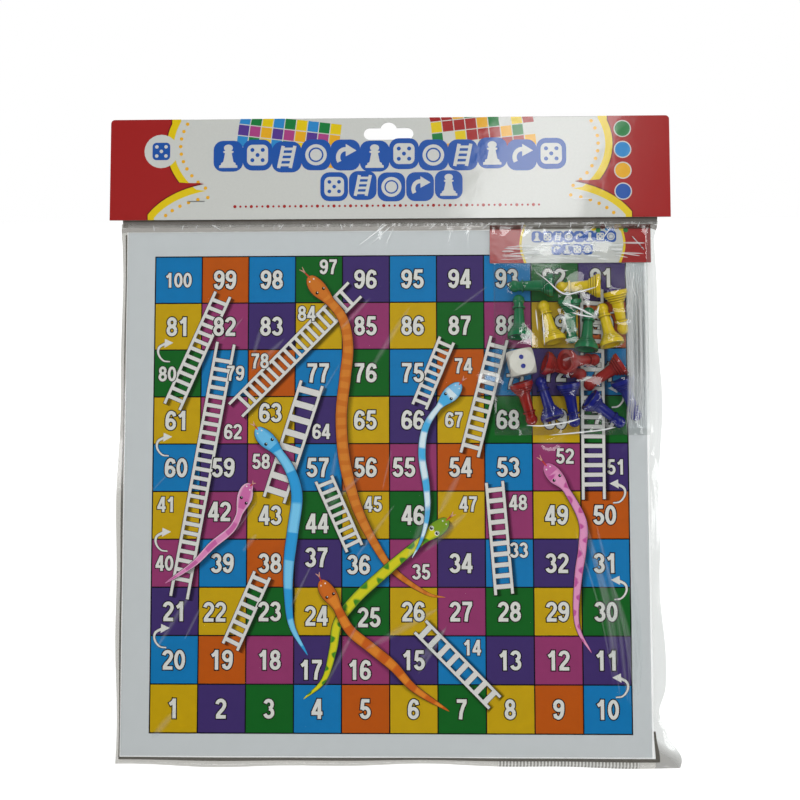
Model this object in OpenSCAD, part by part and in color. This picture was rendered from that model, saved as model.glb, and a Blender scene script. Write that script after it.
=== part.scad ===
// Snakes and ladders board in its clear hanging bag, with a pouch of pawns and a die.
// The pack lies face up: X runs along the header card, Y towards it, Z out of the printed face.
// The origin is under the middle of the pack. All sizes are in millimetres.

/* [Board] */
// Side of the square board
board_size = 330; // [280:5:400]
// Thickness of the chipboard core
core_t = 1.6; // [1:0.1:3]
// Thickness of each printed sheet
sheet_t = 0.2; // [0.1:0.05:0.4]
// How far the board lies to the left in the bag
board_shift = 2.5; // [0:0.5:4]
// Free travel of the board each way along the bag
board_play = 3; // [1:0.5:4]

/* [Bag] */
// Thickness of every film
film_t = 0.1; // [0.06:0.01:0.2]
// Film at each side of the board
bag_side = 7.5; // [6:0.5:15]
// Film below the board
bag_foot = 5; // [5:0.5:15]
// Film between the board and the neck
bag_head = 6; // [5:0.5:12]
// Length of the bare neck of film
neck_h = 2.3; // [2:0.1:10]
// Film inside the header card
mouth_h = 44; // [30:1:48]

/* [Header card] */
// How far the card sticks out past each side of the bag
header_over = 7.5; // [0:0.5:20]
// Height of the folded card
header_h = 66; // [55:1:90]
// Thickness of one leaf
card_t = 0.4; // [0.3:0.05:0.8]
// Radius of the corners at the fold
corner_r = 2.5; // [1:0.5:10]
// Width of the hang slot
slot_w = 32; // [25:1:40]
// Height of the hang slot at its ends
slot_h = 7.8; // [5:0.1:10]
// Diameter of the round hump over the slot
hump_d = 11; // [8:0.5:14]
// Rise of the hump above the slot
hump_rise = 3.8; // [2:0.1:4.5]
// Distance from the fold to the top of the slot
slot_drop = 6.7; // [6:0.1:12]

/* [Staples] */
// Thickness of the staple wire
wire_t = 0.45; // [0.3:0.05:0.7]
// Length of a staple's back
staple_w = 11; // [8:0.5:14]
// Length of each bent leg
clinch_w = 4; // [2:0.5:5]
// Distance of each header staple from the middle
staple_x = 124; // [60:1:140]
// Height of the header staples above the card's lower edge
staple_y = 12; // [6:1:24]
// Distance of the pouch staple from the right end of the pouch card
pouch_staple_x = 8; // [7:1:30]
// Slant of the pouch staple
pouch_staple_turn = -50; // [-90:5:90]

/* [Pouch] */
// Film at each side of the pile of pieces
pouch_side = 6; // [5:0.5:12]
// Film below the pile
pouch_foot = 4; // [4:0.5:12]
// Film between the pile and the pouch card
pouch_head = 7.5; // [5:0.5:20]
// How far the film leans in from each edge to the top
pouch_lean = 9; // [4:0.5:10]
// Height of the folded pouch card
pouch_card_h = 25; // [22:1:40]
// Thickness of one leaf of the pouch card
pouch_card_t = 0.35; // [0.2:0.05:0.6]
// How far the pouch card sticks out past each side of the pouch
pouch_card_over = 2.25; // [0:0.25:4]
// How far the pouch card reaches past the board's upper edge
card_rise = 3.5; // [0:0.5:4]
// Distance from the pouch card to the side of the bag
card_in = 6; // [5.5:0.5:20]
// Free travel of the pouch down the bag
pouch_travel = 12; // [4:1:30]

/* [Pawns] */
// Height of a pawn
pawn_h = 28; // [24:0.5:34]
// Diameter of the foot
foot_d = 15; // [13:0.5:17]
// Thickness of the foot
foot_t = 2.6; // [1.5:0.1:3.5]
// Number of rings over the foot
ring_n = 3; // [1:1:4]
// Diameter of the lowest ring
ring_d = 13.6; // [12:0.2:14]
// Thickness of a ring
ring_t = 1.55; // [1:0.05:2]
// Step in diameter from one ring to the next
ring_step = 2; // [1:0.2:2.4]
// Bevel on a ring's edges
ring_bevel = 0.35; // [0.1:0.05:0.45]
// Diameter of the body over the rings
body_d = 7.8; // [7:0.2:8.4]
// Diameter of the body under the collar
neck_d = 6.2; // [5:0.2:7]
// Diameter of the collar
collar_d = 8.2; // [7:0.2:9]
// Thickness of the collar
collar_t = 1; // [0.6:0.1:1.5]
// Diameter of the ball head
ball_d = 7.5; // [6:0.1:8]
// Wall around the hollow foot
pawn_wall = 1.6; // [1:0.1:2.2]
// Slope of the one pawn that leans on the others
lean_tilt = 36; // [34:1:45]

/* [Die] */
// Side of the die
die_size = 16; // [12:0.5:18]
// Diameter of the ball that rounds its corners, as a share of the side
die_round = 1.4; // [1.3:0.02:1.6]
// Diameter of a pip
pip_d = 3; // [2:0.1:3.5]
// Depth of a pip
pip_depth = 0.5; // [0.3:0.05:1]
// Distance of the outer pips from the middle of a face
pip_step = 4; // [3:0.1:4.5]

/* [Clearances] */
// Gap between a leaf of card and the film in it
card_gap = 0.05; // [0.02:0.01:0.2]
// Gap around a staple's leg
hole_gap = 0.1; // [0.05:0.05:0.3]
// Gap under a flat piece that can slide
slide_gap = 0.1; // [0.05:0.05:0.3]
// Gap between a round piece and the film under it
seat_gap = 0.3; // [0.2:0.05:0.5]
// Gap between moving pieces and the film over them
film_gap = 0.5; // [0.3:0.1:1]

/* [Hidden] */
$fn = 64;
BELL_STEPS = 6;
BELL_POWER = 0.6;
THROAT_H = 0.8;
PAIR_STEP = 0.72;
OPEN_CUT = 1;
SKIN = 1.5 * film_t;

// Places of the pawns in the pile: foot's x and y, and heading from foot to head in degrees
GREEN = [[-32, 11, 90], [-10.5, 44, 180], [9.5, 3, 84], [-0.5, 35, -86]];
YELLOW = [[-10, 8, 105], [19, 43.5, 181], [26, 6, 103], [28, 40, -77]];
RED = [[-31.5, -17.5, -73], [-16.5, -5, -17], [-4.5, -5.5, 8], [32, -5.5, 213]];
BLUE = [[-11.5, -40, 107], [-2, -18, -80], [11, -28, -36], [31.5, -15.5, -68]];
LEANING = RED[2];
DIE_PLACE = [-31, -5, 12];
// Reach of the pile to each side of its middle, for the pawn and die that it was laid out with
PILE_LEFT = 41.5;
PILE_RIGHT = 44;
PILE_FOOT = 46;
PILE_TOP = 52;
LAID_PAWN_H = 28;
LAID_FOOT_D = 15;
LAID_BALL_D = 7.5;
LAID_DIE = 16;
pile_grow = max(pawn_h / LAID_PAWN_H, foot_d / LAID_FOOT_D, ball_d / LAID_BALL_D, die_size / LAID_DIE);

// Plan of the pack, centred on the origin
bag_w = board_size + 2 * bag_side;
header_w = bag_w + 2 * header_over;
pack_len = bag_foot + board_size + bag_head + neck_h + header_h;
foot_y = -pack_len / 2;
board_low = foot_y + bag_foot;
board_top = board_low + board_size;
rim_y = board_top + bag_head;
header_y = rim_y + neck_h;
fold_y = header_y + header_h;

// Heights, from the floor up
face_z = film_t + core_t + 2 * sheet_t;
header_slit = 2 * film_t + 2 * card_gap;
header_t = 2 * card_t + header_slit;
header_z = wire_t;
mouth_z = header_z + card_t + card_gap;
pouch_z = face_z + slide_gap + wire_t;
pouch_slit = 2 * film_t + 2 * card_gap;
pouch_card_all = 2 * pouch_card_t + pouch_slit;
pouch_film_z = pouch_z + pouch_card_t + card_gap;
pile_z = pouch_film_z + film_t + seat_gap;
roof_z = pouch_z + pouch_card_all + wire_t + film_gap + film_t;

// A pawn at rest touches the film with its foot and its ball
ball_c = pawn_h - ball_d / 2;
bell_low = foot_t + ring_n * ring_t;
rest_run = ball_c - foot_t;
rest_tilt = acos(ball_d / 2 / norm([foot_d / 2, rest_run])) - atan2(rest_run, foot_d / 2);
function foot_rise(tilt) = ball_d / 2 + ball_c * sin(tilt);
pile_high = foot_rise(lean_tilt) + foot_d / 2 * cos(lean_tilt);

// Plan of the pouch
pouch_w = (PILE_LEFT + PILE_RIGHT) * pile_grow + 2 * pouch_side;
pouch_card_w = pouch_w + 2 * pouch_card_over;
pouch_right = bag_w / 2 - card_in - pouch_card_over;
pouch_left = pouch_right - pouch_w;
pouch_card_x = (pouch_left + pouch_right) / 2;
pouch_card_top = board_top + card_rise;
pouch_card_low = pouch_card_top - pouch_card_h;
pile_x = pouch_right - pouch_side - PILE_RIGHT * pile_grow;
pile_y = pouch_card_low - pouch_head - PILE_TOP * pile_grow;
pouch_low = pile_y - PILE_FOOT * pile_grow - pouch_foot;
pouch_roof_z = pile_z + pile_high + film_gap + film_t;

// Outlines as [left, right, low, high]
function inset(r, s, low, high) = [r[0] + s, r[1] - s, r[2] + low, r[3] - high];
bag_rim = [-bag_w / 2, bag_w / 2, foot_y, rim_y];
roof_side = bag_side - board_shift - film_gap;
roof_foot = bag_foot - board_play - film_gap;
roof_head = bag_head - max(board_play, card_rise) - film_gap;
bag_roof = inset(bag_rim, roof_side, roof_foot, roof_head);
pouch_rim = [pouch_left, pouch_right, pouch_low, pouch_card_low - film_gap];
pouch_roof = inset(pouch_rim, pouch_lean, pouch_lean, pouch_lean);
tent_rim = [pouch_left - pouch_lean, bag_roof[1], pouch_low - pouch_travel - pouch_lean, bag_roof[3]];
tent_roof = inset(pouch_roof, -3 * film_gap, -3 * film_gap - pouch_travel, -3 * film_gap);
tent_z = pouch_roof_z + film_gap + film_t;

// A solid with flat sloping sides between two outlines
module frustum(low, low_z, high, high_z) {
    corners = [[0, 2], [1, 2], [1, 3], [0, 3]];
    polyhedron(
        points = [
            for (c = corners) [low[c[0]], low[c[1]], low_z],
            for (c = corners) [high[c[0]], high[c[1]], high_z]
        ],
        faces = [[0, 1, 2, 3], [7, 6, 5, 4], [4, 5, 1, 0], [5, 6, 2, 1], [6, 7, 3, 2], [7, 4, 0, 3]]
    );
}

// The same solid one skin smaller, and carried on below so that it cuts the foot open
module frustum_inside(low, low_z, high, high_z) {
    spread = OPEN_CUT / (high_z - low_z);
    below = [for (i = [0:3]) low[i] + (low[i] - high[i]) * spread];
    frustum(inset(below, SKIN, SKIN, SKIN), low_z - OPEN_CUT, inset(high, SKIN, SKIN, SKIN), high_z - film_t);
}

// A plate between two outlines' corners at one height
module plate(r, z, t) {
    translate([r[0], r[2], z])
        cube([r[1] - r[0], r[3] - r[2], t]);
}

// A card folded over at its upper edge, open at y = 0
module folded_card(w, h, leaf, slit) {
    t = 2 * leaf + slit;
    rotate([90, 0, 90])
        translate([0, 0, -w / 2])
            linear_extrude(w)
                difference() {
                    union() {
                        square([h - t / 2, t]);
                        translate([h - t / 2, t / 2])
                            circle(d = t);
                    }
                    translate([-OPEN_CUT, leaf])
                        square([h - t / 2 + OPEN_CUT, slit]);
                    translate([h - t / 2, t / 2])
                        circle(d = slit);
                }
}

// The places of a staple's two legs
module at_legs() {
    for (side = [-1, 1])
        translate([side * (staple_w - wire_t) / 2, 0, 0])
            children();
}

// A closed staple that grips sheets from z = 0 up
module staple(grip) {
    translate([-staple_w / 2, -wire_t / 2, grip])
        cube([staple_w, wire_t, wire_t]);
    at_legs()
        translate([-wire_t / 2, -wire_t / 2, -wire_t])
            cube([wire_t, wire_t, grip + 2 * wire_t]);
    for (side = [0, 1])
        mirror([side, 0, 0])
            translate([staple_w / 2 - clinch_w, -wire_t / 2, -wire_t])
                cube([clinch_w, wire_t, wire_t]);
}

// The holes of a staple's legs
module staple_holes(grip) {
    hole = wire_t + 2 * hole_gap;
    at_legs()
        translate([-hole / 2, -hole / 2, -OPEN_CUT])
            cube([hole, hole, grip + 2 * OPEN_CUT]);
}

module at_header_staples() {
    for (side = [-1, 1])
        translate([side * staple_x, header_y + staple_y, header_z])
            children();
}

module at_pouch_staple() {
    translate([pouch_card_x + pouch_card_w / 2 - pouch_staple_x, pouch_card_low + pouch_card_h / 2, pouch_z])
        rotate([0, 0, pouch_staple_turn])
            children();
}

// Outline of the hang slot, with y = 0 at its top
module hang_slot() {
    end = (slot_w - slot_h) / 2;
    translate([-end, -slot_h])
        square([2 * end, slot_h]);
    for (side = [-1, 1])
        translate([side * end, -slot_h / 2])
            circle(d = slot_h);
    translate([0, hump_rise - hump_d / 2])
        circle(d = hump_d);
}

// Outline of the header card, with its fold's corners rounded
module header_outline() {
    translate([-header_w / 2, 0])
        square([header_w, header_h - corner_r]);
    translate([-header_w / 2 + corner_r, 0])
        square([header_w - 2 * corner_r, header_h]);
    for (side = [-1, 1])
        translate([side * (header_w / 2 - corner_r), header_h - corner_r])
            circle(corner_r);
}

// The half outline that turns into a pawn, with the foot at y = 0
module pawn_outline() {
    collar_low = ball_c - ball_d / 2 - THROAT_H - collar_t;
    rings = [
        for (i = [0:ring_n - 1]) let (r = (ring_d - i * ring_step) / 2, low = foot_t + i * ring_t, high = low + ring_t)
            each [[r - ring_bevel, low], [r, low + ring_bevel], [r, high - ring_bevel], [r - ring_bevel, high]]
    ];
    bell = [
        for (i = [0:BELL_STEPS]) let (u = i / BELL_STEPS)
            [(body_d + (neck_d - body_d) * pow(u, BELL_POWER)) / 2, bell_low + (collar_low - bell_low) * u]
    ];
    polygon(concat(
        [[0, 0], [foot_d / 2, 0], [foot_d / 2, foot_t]],
        rings,
        bell,
        [
            [collar_d / 2, collar_low], [collar_d / 2, collar_low + collar_t],
            [neck_d / 2, collar_low + collar_t], [neck_d / 2, ball_c], [0, ball_c]
        ]
    ));
}

// One hollow pawn, standing on its foot at the origin
module pawn_shape() {
    hollow_r = ring_d / 2 - pawn_wall;
    hollow_mid = body_d / 2 - pawn_wall;
    hollow_tip = neck_d / 2 - pawn_wall / 2;
    hollow_h = ball_c - ball_d - pawn_wall;
    difference() {
        union() {
            rotate_extrude()
                pawn_outline();
            translate([0, 0, ball_c])
                sphere(d = ball_d);
        }
        translate([0, 0, -OPEN_CUT])
            cylinder(r = hollow_r, h = foot_t + OPEN_CUT);
        translate([0, 0, foot_t])
            cylinder(r1 = hollow_r, r2 = hollow_mid, h = bell_low - foot_t);
        translate([0, 0, bell_low])
            cylinder(r1 = hollow_mid, r2 = min(hollow_mid, hollow_tip), h = hollow_h - bell_low);
    }
}

// A pawn at one of the pile's places
module pawn(place) {
    tilt = place == LEANING ? lean_tilt : rest_tilt;
    translate([pile_x + place[0] * pile_grow, pile_y + place[1] * pile_grow, pile_z + foot_rise(tilt)])
        rotate([0, 90 + tilt, place[2]])
            pawn_shape();
}

module board_sheet(z, t) {
    translate([-board_size / 2 - board_shift, board_low, z])
        cube([board_size, board_size, t]);
}

module board_core() {
    color("tan")
        board_sheet(film_t + sheet_t, core_t);
}

module board_front_sheet() {
    color("royalblue")
        board_sheet(film_t + sheet_t + core_t, sheet_t);
}

module board_back_sheet() {
    color("whitesmoke")
        board_sheet(film_t, sheet_t);
}

module bag_back_film() {
    color("lightgrey", 0.4)
        plate(bag_rim, 0, film_t);
}

module bag_front_film() {
    color("lightgrey", 0.3)
        difference() {
            union() {
                frustum(bag_rim, film_t, bag_roof, roof_z);
                frustum(tent_rim, film_t, tent_roof, tent_z);
            }
            frustum_inside(bag_rim, film_t, bag_roof, roof_z);
            frustum_inside(tent_rim, film_t, tent_roof, tent_z);
        }
}

module bag_neck_film() {
    color("lightgrey", 0.4)
        rotate([90, 0, 90])
            translate([0, 0, -bag_w / 2])
                linear_extrude(bag_w)
                    polygon([
                        [rim_y, 0], [header_y, mouth_z], [header_y, mouth_z + 2 * film_t], [rim_y, 2 * film_t]
                    ]);
}

module bag_mouth_film() {
    color("lightgrey", 0.4)
        difference() {
            plate([-bag_w / 2, bag_w / 2, header_y, header_y + mouth_h], mouth_z, 2 * film_t);
            at_header_staples()
                staple_holes(header_t);
        }
}

module header_card() {
    color("crimson")
        difference() {
            intersection() {
                translate([0, header_y, header_z])
                    folded_card(header_w, header_h, card_t, header_slit);
                translate([0, header_y, header_z - OPEN_CUT])
                    linear_extrude(header_t + 2 * OPEN_CUT)
                        header_outline();
            }
            translate([0, fold_y - slot_drop, header_z - OPEN_CUT])
                linear_extrude(header_t + 2 * OPEN_CUT)
                    hang_slot();
            at_header_staples()
                staple_holes(header_t);
        }
}

module header_staples() {
    color("silver")
        at_header_staples()
            staple(header_t);
}

module pouch_back_film() {
    color("lightgrey", 0.4)
        difference() {
            plate([pouch_left, pouch_right, pouch_low, pouch_card_top - pouch_card_all], pouch_film_z, film_t);
            at_pouch_staple()
                staple_holes(pouch_card_all);
        }
}

module pouch_front_film() {
    tab = [pouch_left, pouch_right, pouch_rim[3] - film_gap, pouch_card_top - pouch_card_all];
    film_z = pouch_film_z + film_t;
    color("lightgrey", 0.3)
        difference() {
            union() {
                difference() {
                    frustum(pouch_rim, film_z, pouch_roof, pouch_roof_z);
                    frustum_inside(pouch_rim, film_z, pouch_roof, pouch_roof_z);
                }
                plate(tab, film_z, film_t);
            }
            at_pouch_staple()
                staple_holes(pouch_card_all);
        }
}

module pouch_card() {
    color("firebrick")
        difference() {
            translate([pouch_card_x, pouch_card_low, pouch_z])
                folded_card(pouch_card_w, pouch_card_h, pouch_card_t, pouch_slit);
            at_pouch_staple()
                staple_holes(pouch_card_all);
        }
}

module pouch_staple() {
    color("silver")
        at_pouch_staple()
            staple(pouch_card_all);
}

// The pips of one face, which looks along Z, cut as shallow bowls
module pips(count) {
    bowl_r = (pip_d * pip_d / 4 + pip_depth * pip_depth) / (2 * pip_depth);
    places = [
        if (count % 2 == 1) [0, 0],
        if (count == 2) each [[0, PAIR_STEP], [0, -PAIR_STEP]],
        if (count > 2) each [[-1, 1], [1, -1]],
        if (count > 3) each [[1, 1], [-1, -1]],
        if (count == 6) each [[-1, 0], [1, 0]]
    ];
    for (p = places)
        translate([p[0] * pip_step, p[1] * pip_step, die_size / 2 + bowl_r - pip_depth])
            sphere(bowl_r);
}

// The die shows two upwards, and opposite faces add up to seven
module die() {
    faces = [[2, [0, 0, 0]], [5, [180, 0, 0]], [1, [90, 0, 0]], [6, [-90, 0, 0]], [3, [0, 90, 0]], [4, [0, -90, 0]]];
    color("white")
        translate([
            pile_x + DIE_PLACE[0] * pile_grow,
            pile_y + DIE_PLACE[1] * pile_grow,
            pouch_film_z + film_t + slide_gap + die_size / 2
        ])
            rotate([0, 0, DIE_PLACE[2]])
                difference() {
                    intersection() {
                        cube(die_size, center = true);
                        sphere(d = die_size * die_round);
                    }
                    for (f = faces)
                        rotate(f[1])
                            pips(f[0]);
                }
}

module pawn_green(place) {
    color("forestgreen")
        pawn(place);
}

module pawn_yellow(place) {
    color("gold")
        pawn(place);
}

module pawn_red(place) {
    color("red")
        pawn(place);
}

module pawn_blue(place) {
    color("dodgerblue")
        pawn(place);
}

board_core();
board_front_sheet();
board_back_sheet();
bag_back_film();
bag_front_film();
bag_neck_film();
bag_mouth_film();
header_card();
header_staples();
pouch_back_film();
pouch_front_film();
pouch_card();
pouch_staple();
die();
pawn_green(GREEN[0]);  // pawn_green_1
pawn_green(GREEN[1]);  // pawn_green_2
pawn_green(GREEN[2]);  // pawn_green_3
pawn_green(GREEN[3]);  // pawn_green_4
pawn_yellow(YELLOW[0]);  // pawn_yellow_1
pawn_yellow(YELLOW[1]);  // pawn_yellow_2
pawn_yellow(YELLOW[2]);  // pawn_yellow_3
pawn_yellow(YELLOW[3]);  // pawn_yellow_4
pawn_red(RED[0]);  // pawn_red_1
pawn_red(RED[1]);  // pawn_red_2
pawn_red(RED[2]);  // pawn_red_3
pawn_red(RED[3]);  // pawn_red_4
pawn_blue(BLUE[0]);  // pawn_blue_1
pawn_blue(BLUE[1]);  // pawn_blue_2
pawn_blue(BLUE[2]);  // pawn_blue_3
pawn_blue(BLUE[3]);  // pawn_blue_4
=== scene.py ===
"""Dresses the snakes and ladders pack: printed board, cards, clear film, loose pieces and studio."""
import logging
import math
from dataclasses import dataclass, field
from enum import Enum
from typing import Any, Iterable, Sequence

import bpy
import numpy as np
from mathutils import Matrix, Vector
from mathutils.bvhtree import BVHTree


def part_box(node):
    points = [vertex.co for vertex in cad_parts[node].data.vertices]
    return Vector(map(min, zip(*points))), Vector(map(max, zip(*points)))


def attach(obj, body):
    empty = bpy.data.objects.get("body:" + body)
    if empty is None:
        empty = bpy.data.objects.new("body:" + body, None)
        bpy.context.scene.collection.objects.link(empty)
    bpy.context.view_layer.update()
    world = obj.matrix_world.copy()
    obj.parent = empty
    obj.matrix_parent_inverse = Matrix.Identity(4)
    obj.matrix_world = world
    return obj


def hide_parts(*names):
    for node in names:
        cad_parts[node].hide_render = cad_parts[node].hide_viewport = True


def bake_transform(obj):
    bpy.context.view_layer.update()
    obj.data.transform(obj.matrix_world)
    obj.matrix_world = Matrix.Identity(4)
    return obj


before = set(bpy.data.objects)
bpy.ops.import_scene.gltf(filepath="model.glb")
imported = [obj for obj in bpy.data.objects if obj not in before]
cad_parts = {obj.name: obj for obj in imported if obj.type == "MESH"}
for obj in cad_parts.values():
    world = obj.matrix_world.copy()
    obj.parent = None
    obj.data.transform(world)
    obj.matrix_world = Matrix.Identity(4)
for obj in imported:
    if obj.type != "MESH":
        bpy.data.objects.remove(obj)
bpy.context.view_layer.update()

MM = 0.001
INK_MM = 0.012
TINY = 1e-9
LOG = logging.getLogger("pack")

Point = tuple[float, float]
Path = list[Point]
Colour = tuple[float, float, float, float]
Tree = bpy.types.NodeTree
Socket = bpy.types.NodeSocket
INK_IOR = 1.5
PULP_IOR = 1.45
STYRENE_IOR = 1.59


def linear(code: str) -> Colour:
    """Turns an sRGB hex colour into linear light.

    Args:
        code: The colour as "#RRGGBB".

    Returns:
        Red, green, blue and an alpha of 1.
    """
    parts = [int(code[i : i + 2], 16) / 255 for i in (1, 3, 5)]
    light = [p / 12.92 if p <= 0.04045 else ((p + 0.055) / 1.055) ** 2.4 for p in parts]
    return (light[0], light[1], light[2], 1.0)


def toned(colour: Colour, share: float) -> Colour:
    """Scales a colour's light, up to white at most."""
    red, green, blue = (min(1.0, part * share) for part in colour[:3])
    return (red, green, blue, 1.0)


def per_mm(size: float) -> float:
    """Gives the texture scale whose features are size millimetres apart."""
    return 1 / (size * MM)


def add(tree: Tree, kind: str, inputs: dict[str | int, Any] | None = None, **settings: Any) -> bpy.types.Node:
    """Adds a node to a tree.

    Args:
        tree: The node tree.
        kind: Blender's name for the node's type.
        inputs: Its inputs, each with a plain value or the socket that feeds it.
        settings: Properties of the node itself.

    Returns:
        The new node.
    """
    made = tree.nodes.new(kind)
    for key, value in settings.items():
        setattr(made, key, value)
    for key, value in (inputs or {}).items():
        if isinstance(value, Socket):
            tree.links.new(value, made.inputs[key])
        else:
            made.inputs[key].default_value = value
    return made


def maths(tree: Tree, operation: str, *parts: Socket | float) -> Socket:
    """Adds one step of arithmetic on sockets and numbers, under Blender's name for it."""
    return add(tree, "ShaderNodeMath", dict(enumerate(parts)), operation=operation).outputs[0]


def noise(tree: Tree, where: Socket, scale: float, detail: float, rough: float = 0.5) -> Socket:
    """Adds a cloudy texture.

    Args:
        tree: The node tree.
        where: The place at which it is read.
        scale: Clouds to a unit of that place.
        detail: How many finer layers it has.
        rough: How strong those layers are.

    Returns:
        Its value.
    """
    inputs = {"Vector": where, "Scale": scale, "Detail": detail, "Roughness": rough}
    return add(tree, "ShaderNodeTexNoise", inputs).outputs["Fac"]


def spread(
    tree: Tree,
    value: Socket,
    start: float = 0.0,
    end: float = 1.0,
    low: float = 0.0,
    high: Socket | float = 1.0,
) -> Socket:
    """Maps a span of a value onto another span and keeps it inside.

    Args:
        tree: The node tree.
        value: The value.
        start: Where its own span starts.
        end: Where its own span ends.
        low: What the start becomes.
        high: What the end becomes.

    Returns:
        The mapped value.
    """
    span = {"Value": value, "From Min": start, "From Max": end, "To Min": low, "To Max": high}
    return add(tree, "ShaderNodeMapRange", span).outputs["Result"]


def two_tone(tree: Tree, share: Socket, first: Colour | Socket, second: Colour | Socket) -> Socket:
    """Mixes two colours, by the share of the second one."""
    return add(tree, "ShaderNodeMix", {0: share, 6: first, 7: second}, data_type="RGBA").outputs[2]


def bump(tree: Tree, height: Socket, strength: float, depth: float, under: Socket | None = None) -> Socket:
    """Adds fine relief.

    Args:
        tree: The node tree.
        height: The relief, from 0 to 1.
        strength: How much of it shows.
        depth: Its depth in millimetres.
        under: The normal of coarser relief that it lies on.

    Returns:
        The bent normal.
    """
    inputs = {"Height": height, "Strength": strength, "Distance": depth * MM}
    if under is not None:
        inputs["Normal"] = under
    return add(tree, "ShaderNodeBump", inputs).outputs["Normal"]


def place_on(tree: Tree) -> Socket:
    """Gives the place on the object, in metres."""
    return add(tree, "ShaderNodeTexCoord").outputs["Object"]


def kept(tree: Tree, name: str) -> Socket:
    """Gives the number that a mesh keeps under a name."""
    return add(tree, "ShaderNodeAttribute", attribute_name=name).outputs["Fac"]


def surface(tree: Tree, inputs: dict[str, Any]) -> Socket:
    """Adds a solid surface."""
    return add(tree, "ShaderNodeBsdfPrincipled", inputs).outputs["BSDF"]


def matt(tree: Tree, code: str) -> Socket:
    """Adds a matt surface of one sRGB hex colour."""
    return add(tree, "ShaderNodeBsdfDiffuse", {"Color": linear(code)}).outputs["BSDF"]


def clear(tree: Tree, code: str = "#FFFFFF") -> Socket:
    """Adds a clear surface that tints what is seen through it."""
    return add(tree, "ShaderNodeBsdfTransparent", {"Color": linear(code)}).outputs["BSDF"]


def layered(tree: Tree, share: Socket | float, first: Socket, second: Socket) -> Socket:
    """Mixes two surfaces, by the share of the second one."""
    return add(tree, "ShaderNodeMixShader", {0: share, 1: first, 2: second}).outputs["Shader"]


@dataclass(frozen=True)
class Finish:
    """A surface that makes its Blender material the first time it is used."""

    name: str

    def paint(self, tree: Tree) -> Socket:
        """Adds the finish's nodes and gives the shader's socket."""
        raise NotImplementedError

    def material(self) -> bpy.types.Material:
        """Gives the finish's material, made on first use."""
        found = bpy.data.materials.get(self.name)
        if found:
            return found
        made = bpy.data.materials.new(self.name)
        made.use_nodes = True
        made.node_tree.nodes.clear()
        shader = self.paint(made.node_tree)
        add(made.node_tree, "ShaderNodeOutputMaterial", {"Surface": shader})
        return made

    def dress(self, obj: bpy.types.Object) -> None:
        """Puts the finish on every slot of an object."""
        if not obj.material_slots:
            obj.data.materials.append(self.material())
        for slot in obj.material_slots:
            slot.material = self.material()


@dataclass(frozen=True)
class LithoInk(Finish):
    """Litho ink on coated paper: an even tone, clouded a little by the paper, with a low sheen."""

    colour: str
    rough: float = 0.42
    rough_play: float = 0.06
    sheen: float = 0.1
    cloud: float = 0.08
    cloud_mm: float = 5.0
    fibre_mm: float = 0.6
    fibre_depth: float = 0.006

    def paint(self, tree: Tree) -> Socket:
        """Adds clouded ink with a faint paper grain."""
        tone = linear(self.colour)
        play = self.rough_play
        where = place_on(tree)
        cloud = noise(tree, where, per_mm(self.cloud_mm), 4.0)
        fibre = noise(tree, where, per_mm(self.fibre_mm), 2.0)
        look = {
            "Base Color": two_tone(tree, cloud, toned(tone, 1 - self.cloud), toned(tone, 1 + self.cloud)),
            "Roughness": spread(tree, cloud, low=self.rough - play, high=self.rough + play),
            "Normal": bump(tree, fibre, 0.5, self.fibre_depth),
            "IOR": INK_IOR,
            "Specular IOR Level": self.sheen,
        }
        return surface(tree, look)


@dataclass(frozen=True)
class GlossCard(Finish):
    """Folding card with ink and a poured gloss varnish: sharp glare that breaks up over faint cockling."""

    colour: str
    mottle: float = 0.93
    cockle_mm: float = 22.0
    cockle_depth: float = 0.35
    peel_mm: float = 1.4
    peel_depth: float = 0.01

    def paint(self, tree: Tree) -> Socket:
        """Adds inked card under a coat that follows long shallow waves."""
        tone = linear(self.colour)
        where = place_on(tree)
        wave = noise(tree, where, per_mm(self.cockle_mm), 3.0, 0.55)
        peel = noise(tree, where, per_mm(self.peel_mm), 1.0)
        cockle = bump(tree, wave, 0.6, self.cockle_depth)
        skin = bump(tree, peel, 0.25, self.peel_depth, cockle)
        look = {
            "Base Color": two_tone(tree, peel, toned(tone, self.mottle), tone),
            "Roughness": 0.3,
            "Normal": skin,
            "IOR": INK_IOR,
            "Specular IOR Level": 0.2,
            "Coat Weight": 0.8,
            "Coat Roughness": 0.09,
            "Coat Normal": skin,
        }
        return surface(tree, look)


class Skin(Enum):
    """How a printed snake is marked."""

    RINGS = "rings"
    PATCHES = "patches"
    SPOTS = "spots"


SKIN_EDGES = {Skin.RINGS: (-0.1, 0.6), Skin.PATCHES: (-0.12, 0.12), Skin.SPOTS: (0.05, 0.3)}


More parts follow.
